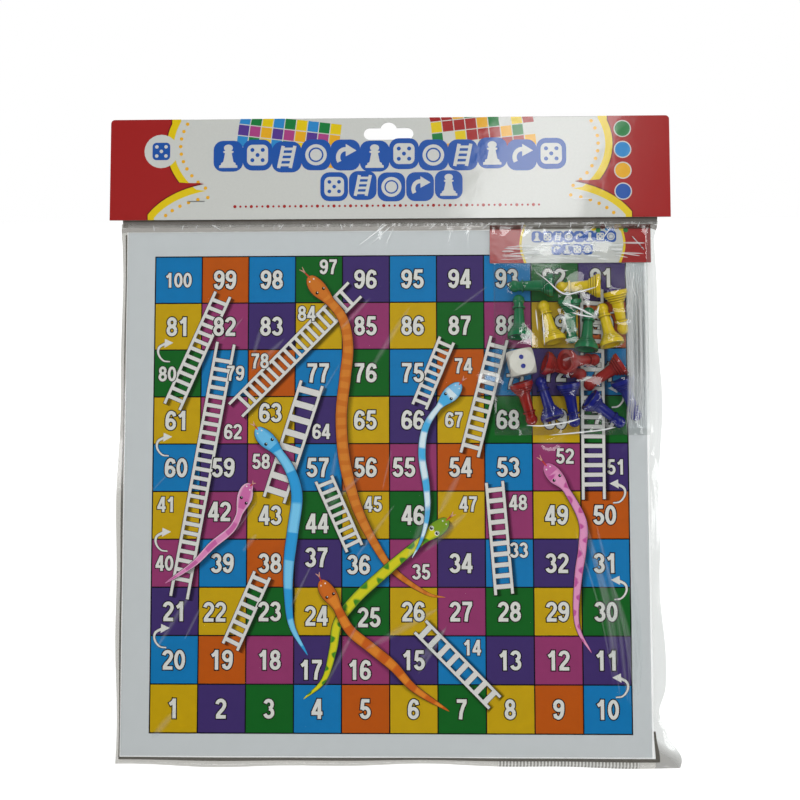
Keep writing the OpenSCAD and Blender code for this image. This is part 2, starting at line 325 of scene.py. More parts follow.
@dataclass(frozen=True)
class SnakeInk(Finish):
    """Printed snake skin: two inks that meet in rings, long patches or round spots along the body."""

    base: str
    mark: str
    skin: Skin
    pitch_mm: float
    rim: str
    head_mm: float
    head_share: float = 0.8
    head_tone: float = 0.75

    def paint(self, tree: Tree) -> Socket:
        """Adds marks that follow the length and width kept on the snake's mesh."""
        along = kept(tree, "along")
        across = kept(tree, "across")
        spot = add(tree, "ShaderNodeCombineXYZ", {"X": along, "Y": across}).outputs["Vector"]
        swing = noise(tree, spot, 1.3 / self.pitch_mm, 2.0)
        shifted = maths(tree, "MULTIPLY_ADD", swing, self.pitch_mm * 0.9, along)
        phase = maths(tree, "MULTIPLY", shifted, 2 * math.pi / self.pitch_mm)
        wave = maths(tree, "SINE", phase)
        if self.skin is Skin.SPOTS:
            side = maths(tree, "SINE", maths(tree, "MULTIPLY", phase, 0.5))
            lean = maths(tree, "MULTIPLY_ADD", maths(tree, "MULTIPLY", side, across), 0.55, -0.1)
            gate = maths(tree, "MULTIPLY", maths(tree, "COSINE", phase), -0.35)
            wave = maths(tree, "ADD", lean, gate)
        marks = spread(tree, wave, *SKIN_EDGES[self.skin])
        past_head = maths(tree, "GREATER_THAN", along, self.head_mm * self.head_share)
        shown = {0: past_head, 2: self.head_tone, 3: marks}
        marked = add(tree, "ShaderNodeMix", shown, data_type="FLOAT").outputs[0]
        body = two_tone(tree, marked, linear(self.base), linear(self.mark))
        rim = spread(tree, maths(tree, "ABSOLUTE", across), 0.55, 1.1)
        colour = two_tone(tree, rim, body, linear(self.rim))
        look = {"Base Color": colour, "IOR": INK_IOR, "Specular IOR Level": 0.1, "Roughness": 0.42}
        return surface(tree, look)


@dataclass(frozen=True)
class SoftShade(Finish):
    """A printed airbrush shadow: thin dark ink that fades out to both sides."""

    colour: str

    def paint(self, tree: Tree) -> Socket:
        """Adds ink whose cover is kept on the mesh."""
        return layered(tree, kept(tree, "shade"), clear(tree), matt(tree, self.colour))


@dataclass(frozen=True)
class Chipboard(Finish):
    """Grey pulp chipboard, guillotined: matt, with darker and paler flecks of pulp along the cut edge."""

    colour: str = "#A79A88"
    fleck_mm: float = 1.2
    fleck_tone: float = 0.6
    fleck_depth: float = 0.1

    def paint(self, tree: Tree) -> Socket:
        """Adds flecked matt board."""
        tone = linear(self.colour)
        fleck = noise(tree, place_on(tree), per_mm(self.fleck_mm), 5.0, 0.7)
        look = {
            "Base Color": two_tone(tree, fleck, toned(tone, self.fleck_tone), tone),
            "Roughness": 0.9,
            "Normal": bump(tree, fleck, 0.7, self.fleck_depth),
            "IOR": PULP_IOR,
        }
        return surface(tree, look)


@dataclass(frozen=True)
class MouldedStyrene(Finish):
    """Injection moulded polystyrene: bright gloss, slightly wavy where the thin walls have sunk.

    Its colour is darkened in the corners between its rings and inside its hollow, as painted shade.
    """

    colour: str
    sink_mm: float = 4.0
    sink_tone: float = 0.86
    sink_depth: float = 0.15
    scuff_mm: float = 0.5
    rough: float = 0.2
    corner_mm: float = 1.6
    corner_tone: float = 0.2

    def paint(self, tree: Tree) -> Socket:
        """Adds glossy plastic with sink waves, uneven polish and painted shade in its corners."""
        tone = linear(self.colour)
        where = place_on(tree)
        sink = noise(tree, where, per_mm(self.sink_mm), 2.0)
        scuff = noise(tree, where, per_mm(self.scuff_mm), 3.0)
        even = two_tone(tree, sink, toned(tone, self.sink_tone), tone)
        # Painted shade: an ambient occlusion node darkens the colour where the piece's own surface lies
        # close, in the corners between its rings and in its hollow.
        reach = {"Distance": self.corner_mm * MM}
        corner = add(tree, "ShaderNodeAmbientOcclusion", reach, samples=8, only_local=True).outputs["AO"]
        unshaded_share = spread(tree, corner, 0.35, 0.95)
        look = {
            "Base Color": two_tone(tree, unshaded_share, toned(tone, self.corner_tone), even),
            "Roughness": spread(tree, scuff, low=self.rough - 0.05, high=self.rough + 0.12),
            "Normal": bump(tree, sink, 0.4, self.sink_depth),
            "IOR": STYRENE_IOR,
        }
        return surface(tree, look)


@dataclass(frozen=True)
class StapleWire(Finish):
    """Drawn and galvanised steel wire: bright grey metal with fine die lines."""

    colour: str = "#C4C6C8"
    line_mm: float = 0.25

    def paint(self, tree: Tree) -> Socket:
        """Adds drawn metal, with lines drawn coarser than real so that they show."""
        lines = noise(tree, place_on(tree), per_mm(self.line_mm), 2.0)
        rough = spread(tree, lines, low=0.22, high=0.42)
        return surface(tree, {"Base Color": linear(self.colour), "Metallic": 1.0, "Roughness": rough})


@dataclass(frozen=True)
class ClearFilm(Finish):
    """Blown polypropylene film: clear, a little milky, with mirror streaks along its creases.

    A welded seal has milky ribs pressed across it, and a fold can carry a soft white line of painted
    highlight.
    """

    tint: str = "#FDFEFE"
    haze: float = 0.002
    haze_colour: str = "#D9DCDD"
    rough: float = 0.055
    mirror: float = 0.06
    wave_mm: float = 14.0
    wave_depth: float = 0.1
    ribs_mm: float = 0.0
    rib_haze: float = 0.8
    soft: bool = False

    def paint(self, tree: Tree) -> Socket:
        """Adds clear film whose mirror grows towards grazing sight, as on any clear plastic."""
        where = place_on(tree)
        normal = bump(tree, noise(tree, where, per_mm(self.wave_mm), 2.0), 0.5, self.wave_depth)
        cover: Socket | float = self.haze
        if self.ribs_mm:
            east = add(tree, "ShaderNodeSeparateXYZ", {"Vector": where}).outputs["X"]
            phase = maths(tree, "MULTIPLY", east, 2 * math.pi * per_mm(self.ribs_mm))
            cover = spread(tree, maths(tree, "SINE", phase), -0.3, 0.5, self.haze, self.rib_haze)
        if self.soft:
            cover = maths(tree, "MULTIPLY", kept(tree, "cover"), self.haze)
        body = layered(tree, cover, clear(tree, self.tint), matt(tree, self.haze_colour))
        polish = {"Roughness": self.rough, "Normal": normal}
        gloss = add(tree, "ShaderNodeBsdfGlossy", polish).outputs["BSDF"]
        facing = add(tree, "ShaderNodeLayerWeight", {"Blend": 0.5, "Normal": normal}).outputs["Facing"]
        share = maths(tree, "MULTIPLY_ADD", maths(tree, "POWER", facing, 5.0), 0.8, self.mirror)
        return layered(tree, share, body, gloss)


@dataclass(frozen=True)
class TableTop(Finish):
    """Matt white laminate, lit up to white where it is looked at and matt in what it throws back."""

    colour: str = "#DADADA"
    glow: float = 0.55

    def paint(self, tree: Tree) -> Socket:
        """Adds matt white with a glow that only lines of sight meet."""
        ray = add(tree, "ShaderNodeLightPath").outputs
        straight = maths(tree, "MAXIMUM", ray["Is Camera Ray"], ray["Is Glossy Ray"])
        seen = maths(tree, "MAXIMUM", straight, ray["Is Transmission Ray"])
        white = matt(tree, self.colour)
        glow = add(tree, "ShaderNodeEmission", {"Strength": self.glow}).outputs["Emission"]
        lit = add(tree, "ShaderNodeAddShader", {0: white, 1: glow}).outputs["Shader"]
        return layered(tree, seen, white, lit)


def white_line(name: str, haze: float, haze_colour: str, rough: float) -> ClearFilm:
    """Gives film with a soft white line of painted highlight, which mirrors nothing when it is faced."""
    return ClearFilm(name, haze=haze, haze_colour=haze_colour, rough=rough, mirror=0.0, soft=True)


PAPER = LithoInk("coated_paper_white", "#CDD1D2", cloud=0.03)
BACK_PAPER = LithoInk("coated_paper_back", "#D2D4D2", cloud=0.03)
BLACK_INK = LithoInk("litho_black", "#07070B")
DIGIT_WHITE = LithoInk("litho_digit_white", "#DDDCD6", cloud=0.04)
DIGIT_EDGE = LithoInk("litho_digit_edge", "#1A1210")
LADDER_WHITE = LithoInk("litho_ladder_white", "#DCDAD5", cloud=0.05)
LADDER_EDGE = LithoInk("litho_ladder_edge", "#2A2426")
SHADE = SoftShade("litho_soft_shadow", "#100C0A")
EYE_WHITE = LithoInk("litho_eye_white", "#E4E4E0")
TONGUE = LithoInk("litho_tongue_red", "#C8402C")
TONGUE_PALE = LithoInk("litho_tongue_pale", "#D9A08E")
CARD_STOCK = GlossCard("gloss_card_white", "#CBCDC8")
CARD_RED = GlossCard("gloss_card_red", "#A01F1E")
CARD_DEEP_RED = GlossCard("gloss_card_deep_red", "#6E1016")
CARD_YELLOW = GlossCard("gloss_card_yellow", "#DFC308")
CARD_AMBER = GlossCard("gloss_card_amber", "#E3A91C")
CARD_BLUE = GlossCard("gloss_card_blue", "#1D52A4")
CARD_SKY = GlossCard("gloss_card_sky", "#2A86C6")
CARD_GREEN = GlossCard("gloss_card_green", "#167A3A")
CARD_PURPLE = GlossCard("gloss_card_purple", "#54388C")
CARD_PINK = GlossCard("gloss_card_pink", "#A8407F")
FILM = ClearFilm("blown_film_clear")
POUCH_FILM = ClearFilm("blown_film_pouch", mirror=0.035, wave_mm=9.0, wave_depth=0.06)
# Painted shadow: dark film along the board's edges, where the board's edge throws its shadow on the table.
EDGE_SHADOW_FILM = ClearFilm(
    "blown_film_painted_edge_shadow", tint="#76736D", haze=0.35, haze_colour="#5A5750", rough=0.12, wave_mm=5.0
)
SEAL_FILM = ClearFilm(
    "blown_film_sealed",
    tint="#9C9993",
    haze=0.15,
    haze_colour="#E4E4E0",
    rough=0.12,
    wave_mm=5.0,
    ribs_mm=2.1,
)
# The loose film beyond the board is tinted grey, partly as its own milky haze and partly as painted shadow on
# the table under it.
LOOSE_SHADED_FILM = ClearFilm(
    "blown_film_loose_painted_shade", tint="#DAD8D4", haze=0.16, haze_colour="#A6A39B", rough=0.1, wave_mm=6.0
)
EAR_FILM = ClearFilm(
    "blown_film_slack", tint="#F1F2F1", haze=0.62, haze_colour="#8F8C85", rough=0.1, wave_mm=6.0, soft=True
)
POUCH_SEAM = ClearFilm("blown_film_pouch_weld", tint="#F3F4F3", haze=0.03, rough=0.1, wave_mm=5.0)
SEAM_FILM = ClearFilm(
    "blown_film_welded", tint="#F1F2F1", haze=0.1, haze_colour="#D2D3D1", rough=0.1, wave_mm=5.0
)
# Painted shade: dark brown haze on the neck film, darkest under the header's edge.
NECK_SHADE_FILM = ClearFilm(
    "blown_film_neck_painted_shade", tint="#E4E1DC", haze=0.97, haze_colour="#3C362F", rough=0.1, wave_mm=3.0, soft=True
)
# Soft white lines of painted highlight: along folds, glints, pleats and sheen streaks of the film.
FOLD_HIGHLIGHT_FILM = white_line("blown_film_fold_painted_highlight", 0.9, "#F6F8F8", 0.16)
GLINT_FILM = white_line("blown_film_glinting", 0.55, "#F6F8F8", 0.16)
PLEAT_HIGHLIGHT_FILM = white_line("blown_film_pleat_painted_highlight", 0.35, "#F4F6F6", 0.2)
SHEEN_STREAK_FILM = white_line("blown_film_painted_sheen_streak", 0.09, "#F4F6F6", 0.2)


class Square(Enum):
    """The inks of the numbered squares, by the letter used in the rows."""

    B = "#0778B5"
    O = "#BC5502"
    G = "#08621C"
    P = "#402D6B"
    Y = "#C6A100"
    M = "#94366A"

    def ink(self) -> LithoInk:
        """Gives the finish of this ink."""
        return LithoInk("litho_square_" + self.name.lower(), self.value)


def arc(cx: float, cy: float, rx: float, ry: float, start: float, end: float, steps: int = 14) -> Path:
    """Draws part of an ellipse as points.

    Args:
        cx: Centre across.
        cy: Centre up.
        rx: Half width.
        ry: Half height.
        start: First angle in degrees.
        end: Last angle in degrees.
        steps: Number of pieces.

    Returns:
        The points, ends included.
    """
    turns = [math.radians(start + (end - start) * i / steps) for i in range(steps + 1)]
    return [(cx + rx * math.cos(t), cy + ry * math.sin(t)) for t in turns]


def oval(cx: float, cy: float, rx: float, ry: float) -> Path:
    """Draws a whole ellipse as points, without its start again at the end."""
    return arc(cx, cy, rx, ry, 0, 345, 23)


def smooth_path(points: Sequence[Point], per: int) -> np.ndarray:
    """Runs a smooth curve through points.

    Args:
        points: The points in order.
        per: Number of pieces between neighbours.

    Returns:
        The curve's points, one row each.
    """
    p = np.array([points[0], *points, points[-1]], float)
    p[0] = 2 * p[1] - p[2]
    p[-1] = 2 * p[-2] - p[-3]
    out = []
    for i in range(1, len(p) - 2):
        for t in np.arange(per) / per:
            a, b, c, d = p[i - 1 : i + 3]
            bend = 2 * a - 5 * b + 4 * c - d
            twist = 3 * b - a - 3 * c + d
            out.append(0.5 * (2 * b + (c - a) * t + bend * t**2 + twist * t**3))
    out.append(p[-2])
    return np.array(out)


def unit(way: np.ndarray) -> np.ndarray:
    """Scales a direction to length 1."""
    return way / np.linalg.norm(way)


def unit_rows(ways: np.ndarray) -> np.ndarray:
    """Scales each row that has a length to length 1."""
    return ways / np.maximum(np.linalg.norm(ways, axis=1, keepdims=True), TINY)


def run_along(path: np.ndarray) -> np.ndarray:
    """Gives how far along the path each of its points lies."""
    return np.concatenate([[0], np.cumsum(np.linalg.norm(np.diff(path, axis=0), axis=1))])


def make_mesh(
    name: str,
    verts: Sequence[Sequence[float]],
    faces: Sequence[Sequence[int]],
    finishes: Sequence[Finish],
    slots: Sequence[int],
    numbers: dict[str, Sequence[float]],
    smooth: bool,
) -> bpy.types.Object:
    """Makes an object from points and faces.

    Args:
        name: Its name.
        verts: Its points in millimetres.
        faces: Its faces, as places in the list of points.
        finishes: Its looks.
        slots: For each face, the place of its look in that list.
        numbers: The numbers that it keeps for each point, by name.
        smooth: Whether it is shaded as one smooth surface.

    Returns:
        The object, not yet in the scene.
    """
    mesh = bpy.data.meshes.new(name)
    mesh.from_pydata([(x * MM, y * MM, z * MM) for x, y, z in verts], [], faces)
    for finish in finishes:
        mesh.materials.append(finish.material())
    mesh.polygons.foreach_set("material_index", slots)
    mesh.polygons.foreach_set("use_smooth", [smooth] * len(faces))
    for key, values in numbers.items():
        mesh.attributes.new(key, "FLOAT", "POINT").data.foreach_set("value", values)
    mesh.validate()
    return bpy.data.objects.new(name, mesh)


@dataclass
class Artwork:
    """Flat print on one face of a body, built up in thin layers of ink."""

    name: str
    body: str
    face: float
    up: int = 1
    verts: list[tuple[float, float, float]] = field(default_factory=list)
    faces: list[list[int]] = field(default_factory=list)
    slots: list[int] = field(default_factory=list)
    finishes: list[Finish] = field(default_factory=list)
    marks: list[tuple[float, float, float]] = field(default_factory=list)

    def slot_of(self, finish: Finish) -> int:
        """Gives the material index of a finish, added on first use."""
        if finish not in self.finishes:
            self.finishes.append(finish)
        return self.finishes.index(finish)

    def polygon(self, points: Iterable[Point], finish: Finish, level: float) -> None:
        """Lays one flat shape.

        Args:
            points: Its outline in millimetres.
            finish: Its ink.
            level: How many layers of ink lie under it.
        """
        outline = list(points)
        area = sum(a[0] * b[1] - b[0] * a[1] for a, b in zip(outline, outline[1:] + outline[:1]))
        if area * self.up < 0:
            outline.reverse()
        first = len(self.verts)
        z = self.face + self.up * INK_MM * (level + 1)
        self.verts += [(x, y, z) for x, y in outline]
        self.marks += [(0.0, 0.0, 0.0)] * len(outline)
        self.faces.append(list(range(first, first + len(outline))))
        self.slots.append(self.slot_of(finish))

    def ribbon(
        self,
        path: Sequence[Point] | np.ndarray,
        widths: float | Sequence[float] | np.ndarray,
        finish: Finish,
        level: float,
        columns: Sequence[float] = (-1.0, 1.0),
        covers: Sequence[float] = (1.0, 1.0),
        closed: bool = False,
    ) -> None:
        """Lays a band along a path.

        Args:
            path: The middle of the band in millimetres.
            widths: Its whole width, one number or one for each point.
            finish: Its ink.
            level: How many layers of ink lie under it.
            columns: Places across the band, from -1 to 1.
            covers: How well the ink covers at each of those places.
            closed: Whether the band's end meets its start.
        """
        p = np.array(path, float)
        half = np.broadcast_to(np.asarray(widths, float) / 2, len(p))
        before = np.roll(p, 1, axis=0)
        after = np.roll(p, -1, axis=0)
        if not closed:
            before[0] = p[0]
            after[-1] = p[-1]
        lead = unit_rows(p - before)
        tail = unit_rows(after - p)
        way = unit_rows(lead + tail)
        side = np.stack([-way[:, 1], way[:, 0]], 1)
        miter = 1 / np.clip(np.maximum((lead * way).sum(1), (tail * way).sum(1)), 0.5, 1)
        run = run_along(p)
        z = self.face + self.up * INK_MM * (level + 1)
        first = len(self.verts)
        n = len(columns)
        for i in range(len(p)):
            for c, cover in zip(columns, covers):
                x, y = p[i] + side[i] * half[i] * miter[i] * c
                self.verts.append((float(x), float(y), z))
                self.marks.append((float(run[i]), c, cover))
        slot = self.slot_of(finish)
        for i in range(len(p) if closed else len(p) - 1):
            j = (i + 1) % len(p)
            for k in range(n - 1):
                quad = [first + i * n + k + 1, first + i * n + k, first + j * n + k, first + j * n + k + 1]
                self.faces.append(quad if self.up > 0 else quad[::-1])
                self.slots.append(slot)

    def disc(self, centre: Point, r: float, finish: Finish, level: float) -> None:
        """Lays a round spot."""
        self.polygon(oval(*centre, r, r), finish, level)

    def build(self, slot: str) -> None:
        """Makes the mesh and puts it on its body.

        Args:
            slot: Not used.
        """
        numbers = dict(zip(("along", "across", "shade"), zip(*self.marks)))
        obj = make_mesh(self.name, self.verts, self.faces, self.finishes, self.slots, numbers, False)
        place(obj, self.body)


def place(obj: bpy.types.Object, body: str) -> bpy.types.Object:
    """Links an object to the scene, on a body."""
    bpy.context.scene.collection.objects.link(obj)
    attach(obj, body)
    LOG.info("%s rides on %s", obj.name, body)
    return obj


DIGIT_W = 0.56
DIGIT_STROKE = 0.175
DIGIT_GAP = 0.055
DIGIT_RIM = 0.056
SIX = [
    oval(0.28, 0.305, 0.195, 0.22) + [(0.475, 0.305)],
    arc(0.3, 0.46, 0.215, 0.455, 200, 80) + [(0.44, 0.85), (0.475, 0.72)],
]
DIGITS: dict[str, list[Path]] = {
    "0": [oval(0.28, 0.5, 0.195, 0.41) + [(0.475, 0.5)]],
    "1": [[(0.34, 0.0), (0.34, 1.0)], [(0.1, 0.7), (0.2, 0.76), (0.29, 0.86), (0.34, 0.97)]],
    "2": [
        arc(0.275, 0.7, 0.195, 0.212, 172, -30) + [(0.38, 0.48), (0.2, 0.28), (0.1, 0.12)],
        [(0.03, 0.085), (0.53, 0.085)],
    ],
    "3": [arc(0.265, 0.715, 0.18, 0.197, 165, -85), arc(0.27, 0.295, 0.2, 0.207, 85, -165)],
    "4": [[(0.4, 0.0), (0.4, 1.0)], [(0.0, 0.28), (0.56, 0.28)], [(0.37, 0.97), (0.08, 0.31)]],
    "5": [
        [(0.1, 0.915), (0.5, 0.915)],
        [(0.165, 0.93), (0.115, 0.47)],
        arc(0.275, 0.32, 0.2, 0.235, 142, -165, 16),
    ],
    "6": SIX,
    "7": [[(0.03, 0.915), (0.53, 0.915)], [(0.46, 0.86), (0.34, 0.62), (0.25, 0.33), (0.215, 0.0)]],
    "8": [
        oval(0.28, 0.72, 0.165, 0.195) + [(0.445, 0.72)],
        oval(0.28, 0.295, 0.195, 0.21) + [(0.475, 0.295)],
    ],
    "9": [[(DIGIT_W - x, 1 - y) for x, y in stroke] for stroke in SIX],
}


def write_number(art: Artwork, text: str, centre: Point, cap: float, level: float) -> None:
    """Prints a plain bold number with a dark edge.

    Args:
        art: The print that it goes on.
        text: Its digits.
        centre: Its middle in millimetres.
        cap: Height of a digit.
        level: How many layers of ink lie under it.
    """
    pitch = (DIGIT_W + DIGIT_GAP) * cap
    x = centre[0] - (pitch * len(text) - DIGIT_GAP * cap) / 2
    edge = DIGIT_RIM * cap
    for ch in text:
        for k, stroke in enumerate(DIGITS[ch]):
            path = np.array([(x + px * cap, centre[1] + (py - 0.5) * cap) for px, py in stroke])
            art.ribbon(path, DIGIT_STROKE * cap, DIGIT_WHITE, level + 1 + k * 0.3)
            longer = path.copy()
            for end, inner in ((0, 1), (-1, -2)):
                longer[end] = path[end] + unit(path[end] - path[inner]) * edge
            art.ribbon(longer, DIGIT_STROKE * cap + 2 * edge, DIGIT_EDGE, level + k * 0.3)
        x += pitch


@dataclass(frozen=True)
class Ladder:
    """A printed ladder, in squares of the grid: its feet, its tops, its number of openings and its layer."""

    foot_left: Point
    foot_right: Point
    top_left: Point
    top_right: Point
    gaps: int
    level: float = 2.3


@dataclass(frozen=True)
class Snake:
    """A printed snake: tongue's tip, spine from the nose to the tail in squares, width, skin and layer."""

    tongue: Point
    spine: tuple[Point, ...]
    width: float
    ink: SnakeInk
    level: int
    pale_eyes: bool = False


LADDERS = (
    Ladder((0.23, 6.86), (0.55, 6.72), (1.29, 9.25), (1.60, 9.13), 12),
    Ladder((0.41, 2.82), (0.76, 2.75), (1.34, 8.17), (1.70, 8.11), 24),
    Ladder((1.60, 6.84), (1.88, 6.58), (4.13, 9.43), (4.40, 9.13), 18),
    Ladder((2.36, 4.89), (2.78, 4.75), (3.13, 7.34), (3.58, 7.22), 7),
    Ladder((4.11, 3.73), (4.42, 3.88), (3.45, 5.20), (3.78, 5.33), 8),
    Ladder((1.52, 1.84), (1.82, 1.69), (2.17, 3.33), (2.49, 3.20), 7),
    Ladder((5.49, 6.83), (5.77, 6.72), (6.07, 8.26), (6.36, 8.13), 8),
    Ladder((6.50, 5.81), (6.86, 5.71), (7.15, 8.27), (7.49, 8.18), 11),
    Ladder((9.05, 4.82), (9.49, 4.83), (9.07, 9.29), (9.50, 9.25), 19, 5.7),
    Ladder((7.21, 2.84), (7.56, 2.87), (7.03, 5.17), (7.37, 5.21), 9),
    Ladder((7.06, 0.52), (7.29, 0.75), (5.52, 2.07), (5.75, 2.31), 7),
)

ORANGE_RINGS = SnakeInk("litho_snake_orange", "#D5822A", "#CB7120", Skin.RINGS, 7.6, "#B85C12", 22.0)
BLUE_PATCHES = SnakeInk("litho_snake_blue", "#2E9FDC", "#7CCBEF", Skin.PATCHES, 36.0, "#2A86C0", 20.0)
PINK_PLAIN = SnakeInk("litho_snake_pink", "#E088BC", "#CC64A4", Skin.PATCHES, 17.0, "#F0D0E0", 12.0)
GREEN_SPOTS = SnakeInk("litho_snake_green", "#D8D01C", "#3C8A20", Skin.SPOTS, 9.5, "#6A9C1E", 14.0)
RUST_RINGS = SnakeInk("litho_snake_rust", "#E08626", "#CC6014", Skin.RINGS, 13.0, "#B4560F", 16.0)
CYAN_RINGS = SnakeInk("litho_snake_cyan", "#DCECF2", "#4AB0E4", Skin.RINGS, 19.0, "#58A6D0", 9.0)
PINK_SPOTS = SnakeInk("litho_snake_rose", "#E49AC4", "#C4529A", Skin.SPOTS, 9.0, "#C8729F", 9.0)

SNAKES = (
    Snake(
        (3.11, 9.74),
        (
            (3.28, 9.57), (3.45, 9.34), (3.67, 9.10), (4.01, 8.65), (4.12, 8.07), (4.06, 7.39), (3.98, 6.55),
            (4.06, 5.60), (4.32, 4.65), (4.72, 3.85), (5.11, 3.32), (5.76, 2.88), (6.16, 2.79),
        ),
        7.0, ORANGE_RINGS, 8,
    ),
    Snake(
        (2.09, 6.45),
        (
            (2.19, 6.34), (2.33, 6.16), (2.60, 5.89), (2.91, 5.43), (3.05, 4.90), (2.97, 4.18), (2.89, 3.52),
            (2.88, 2.85), (2.96, 2.20), (3.29, 1.60),
        ),
        7.0, BLUE_PATCHES, 8,
    ),
    Snake(
        (2.15, 5.20),
        ((2.10, 5.14), (2.00, 5.03), (1.91, 4.75), (1.71, 4.25), (1.28, 3.88), (0.88, 3.48), (0.29, 3.08)),
        4.6, PINK_PLAIN, 8,
    ),
    Snake(
        (6.36, 4.54),
        (
            (6.22, 4.42), (6.07, 4.27), (5.81, 4.08), (5.25, 3.62), (4.79, 3.22), (4.29, 2.76), (3.92, 2.26),
            (3.82, 1.71), (3.63, 1.09), (3.21, 0.70),
        ),
        6.4, GREEN_SPOTS, 13, True,
    ),
    Snake(
        (3.49, 3.30),
        (
            (3.56, 3.15), (3.67, 2.95), (3.85, 2.69), (4.16, 2.13), (4.59, 1.77), (5.07, 1.38), (5.51, 0.92),
            (6.23, 0.46),
        ),
        6.4, RUST_RINGS, 18,
    ),
    Snake(
        (6.60, 7.40),
        (
            (6.50, 7.27), (6.34, 7.09), (6.07, 6.81), (5.77, 6.36), (5.68, 5.78), (5.77, 5.10), (5.79, 4.51),
            (5.67, 4.00), (5.47, 3.61),
        ),
        4.4, CYAN_RINGS, 18,
    ),
    Snake(
        (8.12, 5.73),
        (
            (8.26, 5.56), (8.46, 5.32), (8.67, 5.07), (9.02, 4.40), (9.02, 3.83), (8.93, 3.25), (8.87, 2.50),
            (8.94, 2.07), (9.18, 1.66),
        ),
        5.0, PINK_SPOTS, 8,
    ),
)

ROWS = (
    "YPGBOYGYOB", "BOMPMPBPMP", "PYGYGYMGYG", "MBOPBMPBPB", "YMYGYGYMYO",
    "BPMBOMOBMP", "YMYPYPYGYG", "GBOBGBOBPB", "YMPYMYGMYO", "BOBGPBPBGP",
)
SMALL_NUMBERS: dict[int, Point] = {
    97: (3.70, 9.77), 84: (3.24, 8.77), 78: (2.25, 7.76), 80: (0.28, 7.49), 79: (1.73, 7.50),
    62: (1.69, 6.26), 64: (3.56, 6.26), 58: (2.29, 5.63), 74: (6.56, 7.64), 73: (7.65, 7.30),
    67: (6.36, 6.50), 52: (8.68, 5.73), 51: (9.74, 5.50), 45: (4.65, 4.73), 47: (6.65, 4.73),
    48: (7.69, 4.76), 41: (0.29, 4.73), 40: (0.27, 3.50), 35: (5.66, 3.32), 33: (7.70, 3.77),
    14: (6.71, 1.76),
}
MOVED_NUMBERS: dict[int, Point] = {
    63: (2.48, 6.66), 55: (5.30, 5.50), 44: (3.48, 4.33), 42: (1.42, 4.58), 37: (3.47, 3.62),
    36: (4.35, 3.47), 22: (1.34, 2.49), 24: (3.47, 2.41), 25: (4.57, 2.38), 17: (3.36, 1.30),
    16: (4.37, 1.30),
}
ARROW_BEND: Path = [(0.33, -0.25), (0.2, -0.23), (0.11, -0.14), (0.075, -0.03), (0.11, 0.07), (0.24, 0.14)]
ARROW_TIP: Path = [(0.21, 0.05), (0.4, 0.155), (0.22, 0.24)]


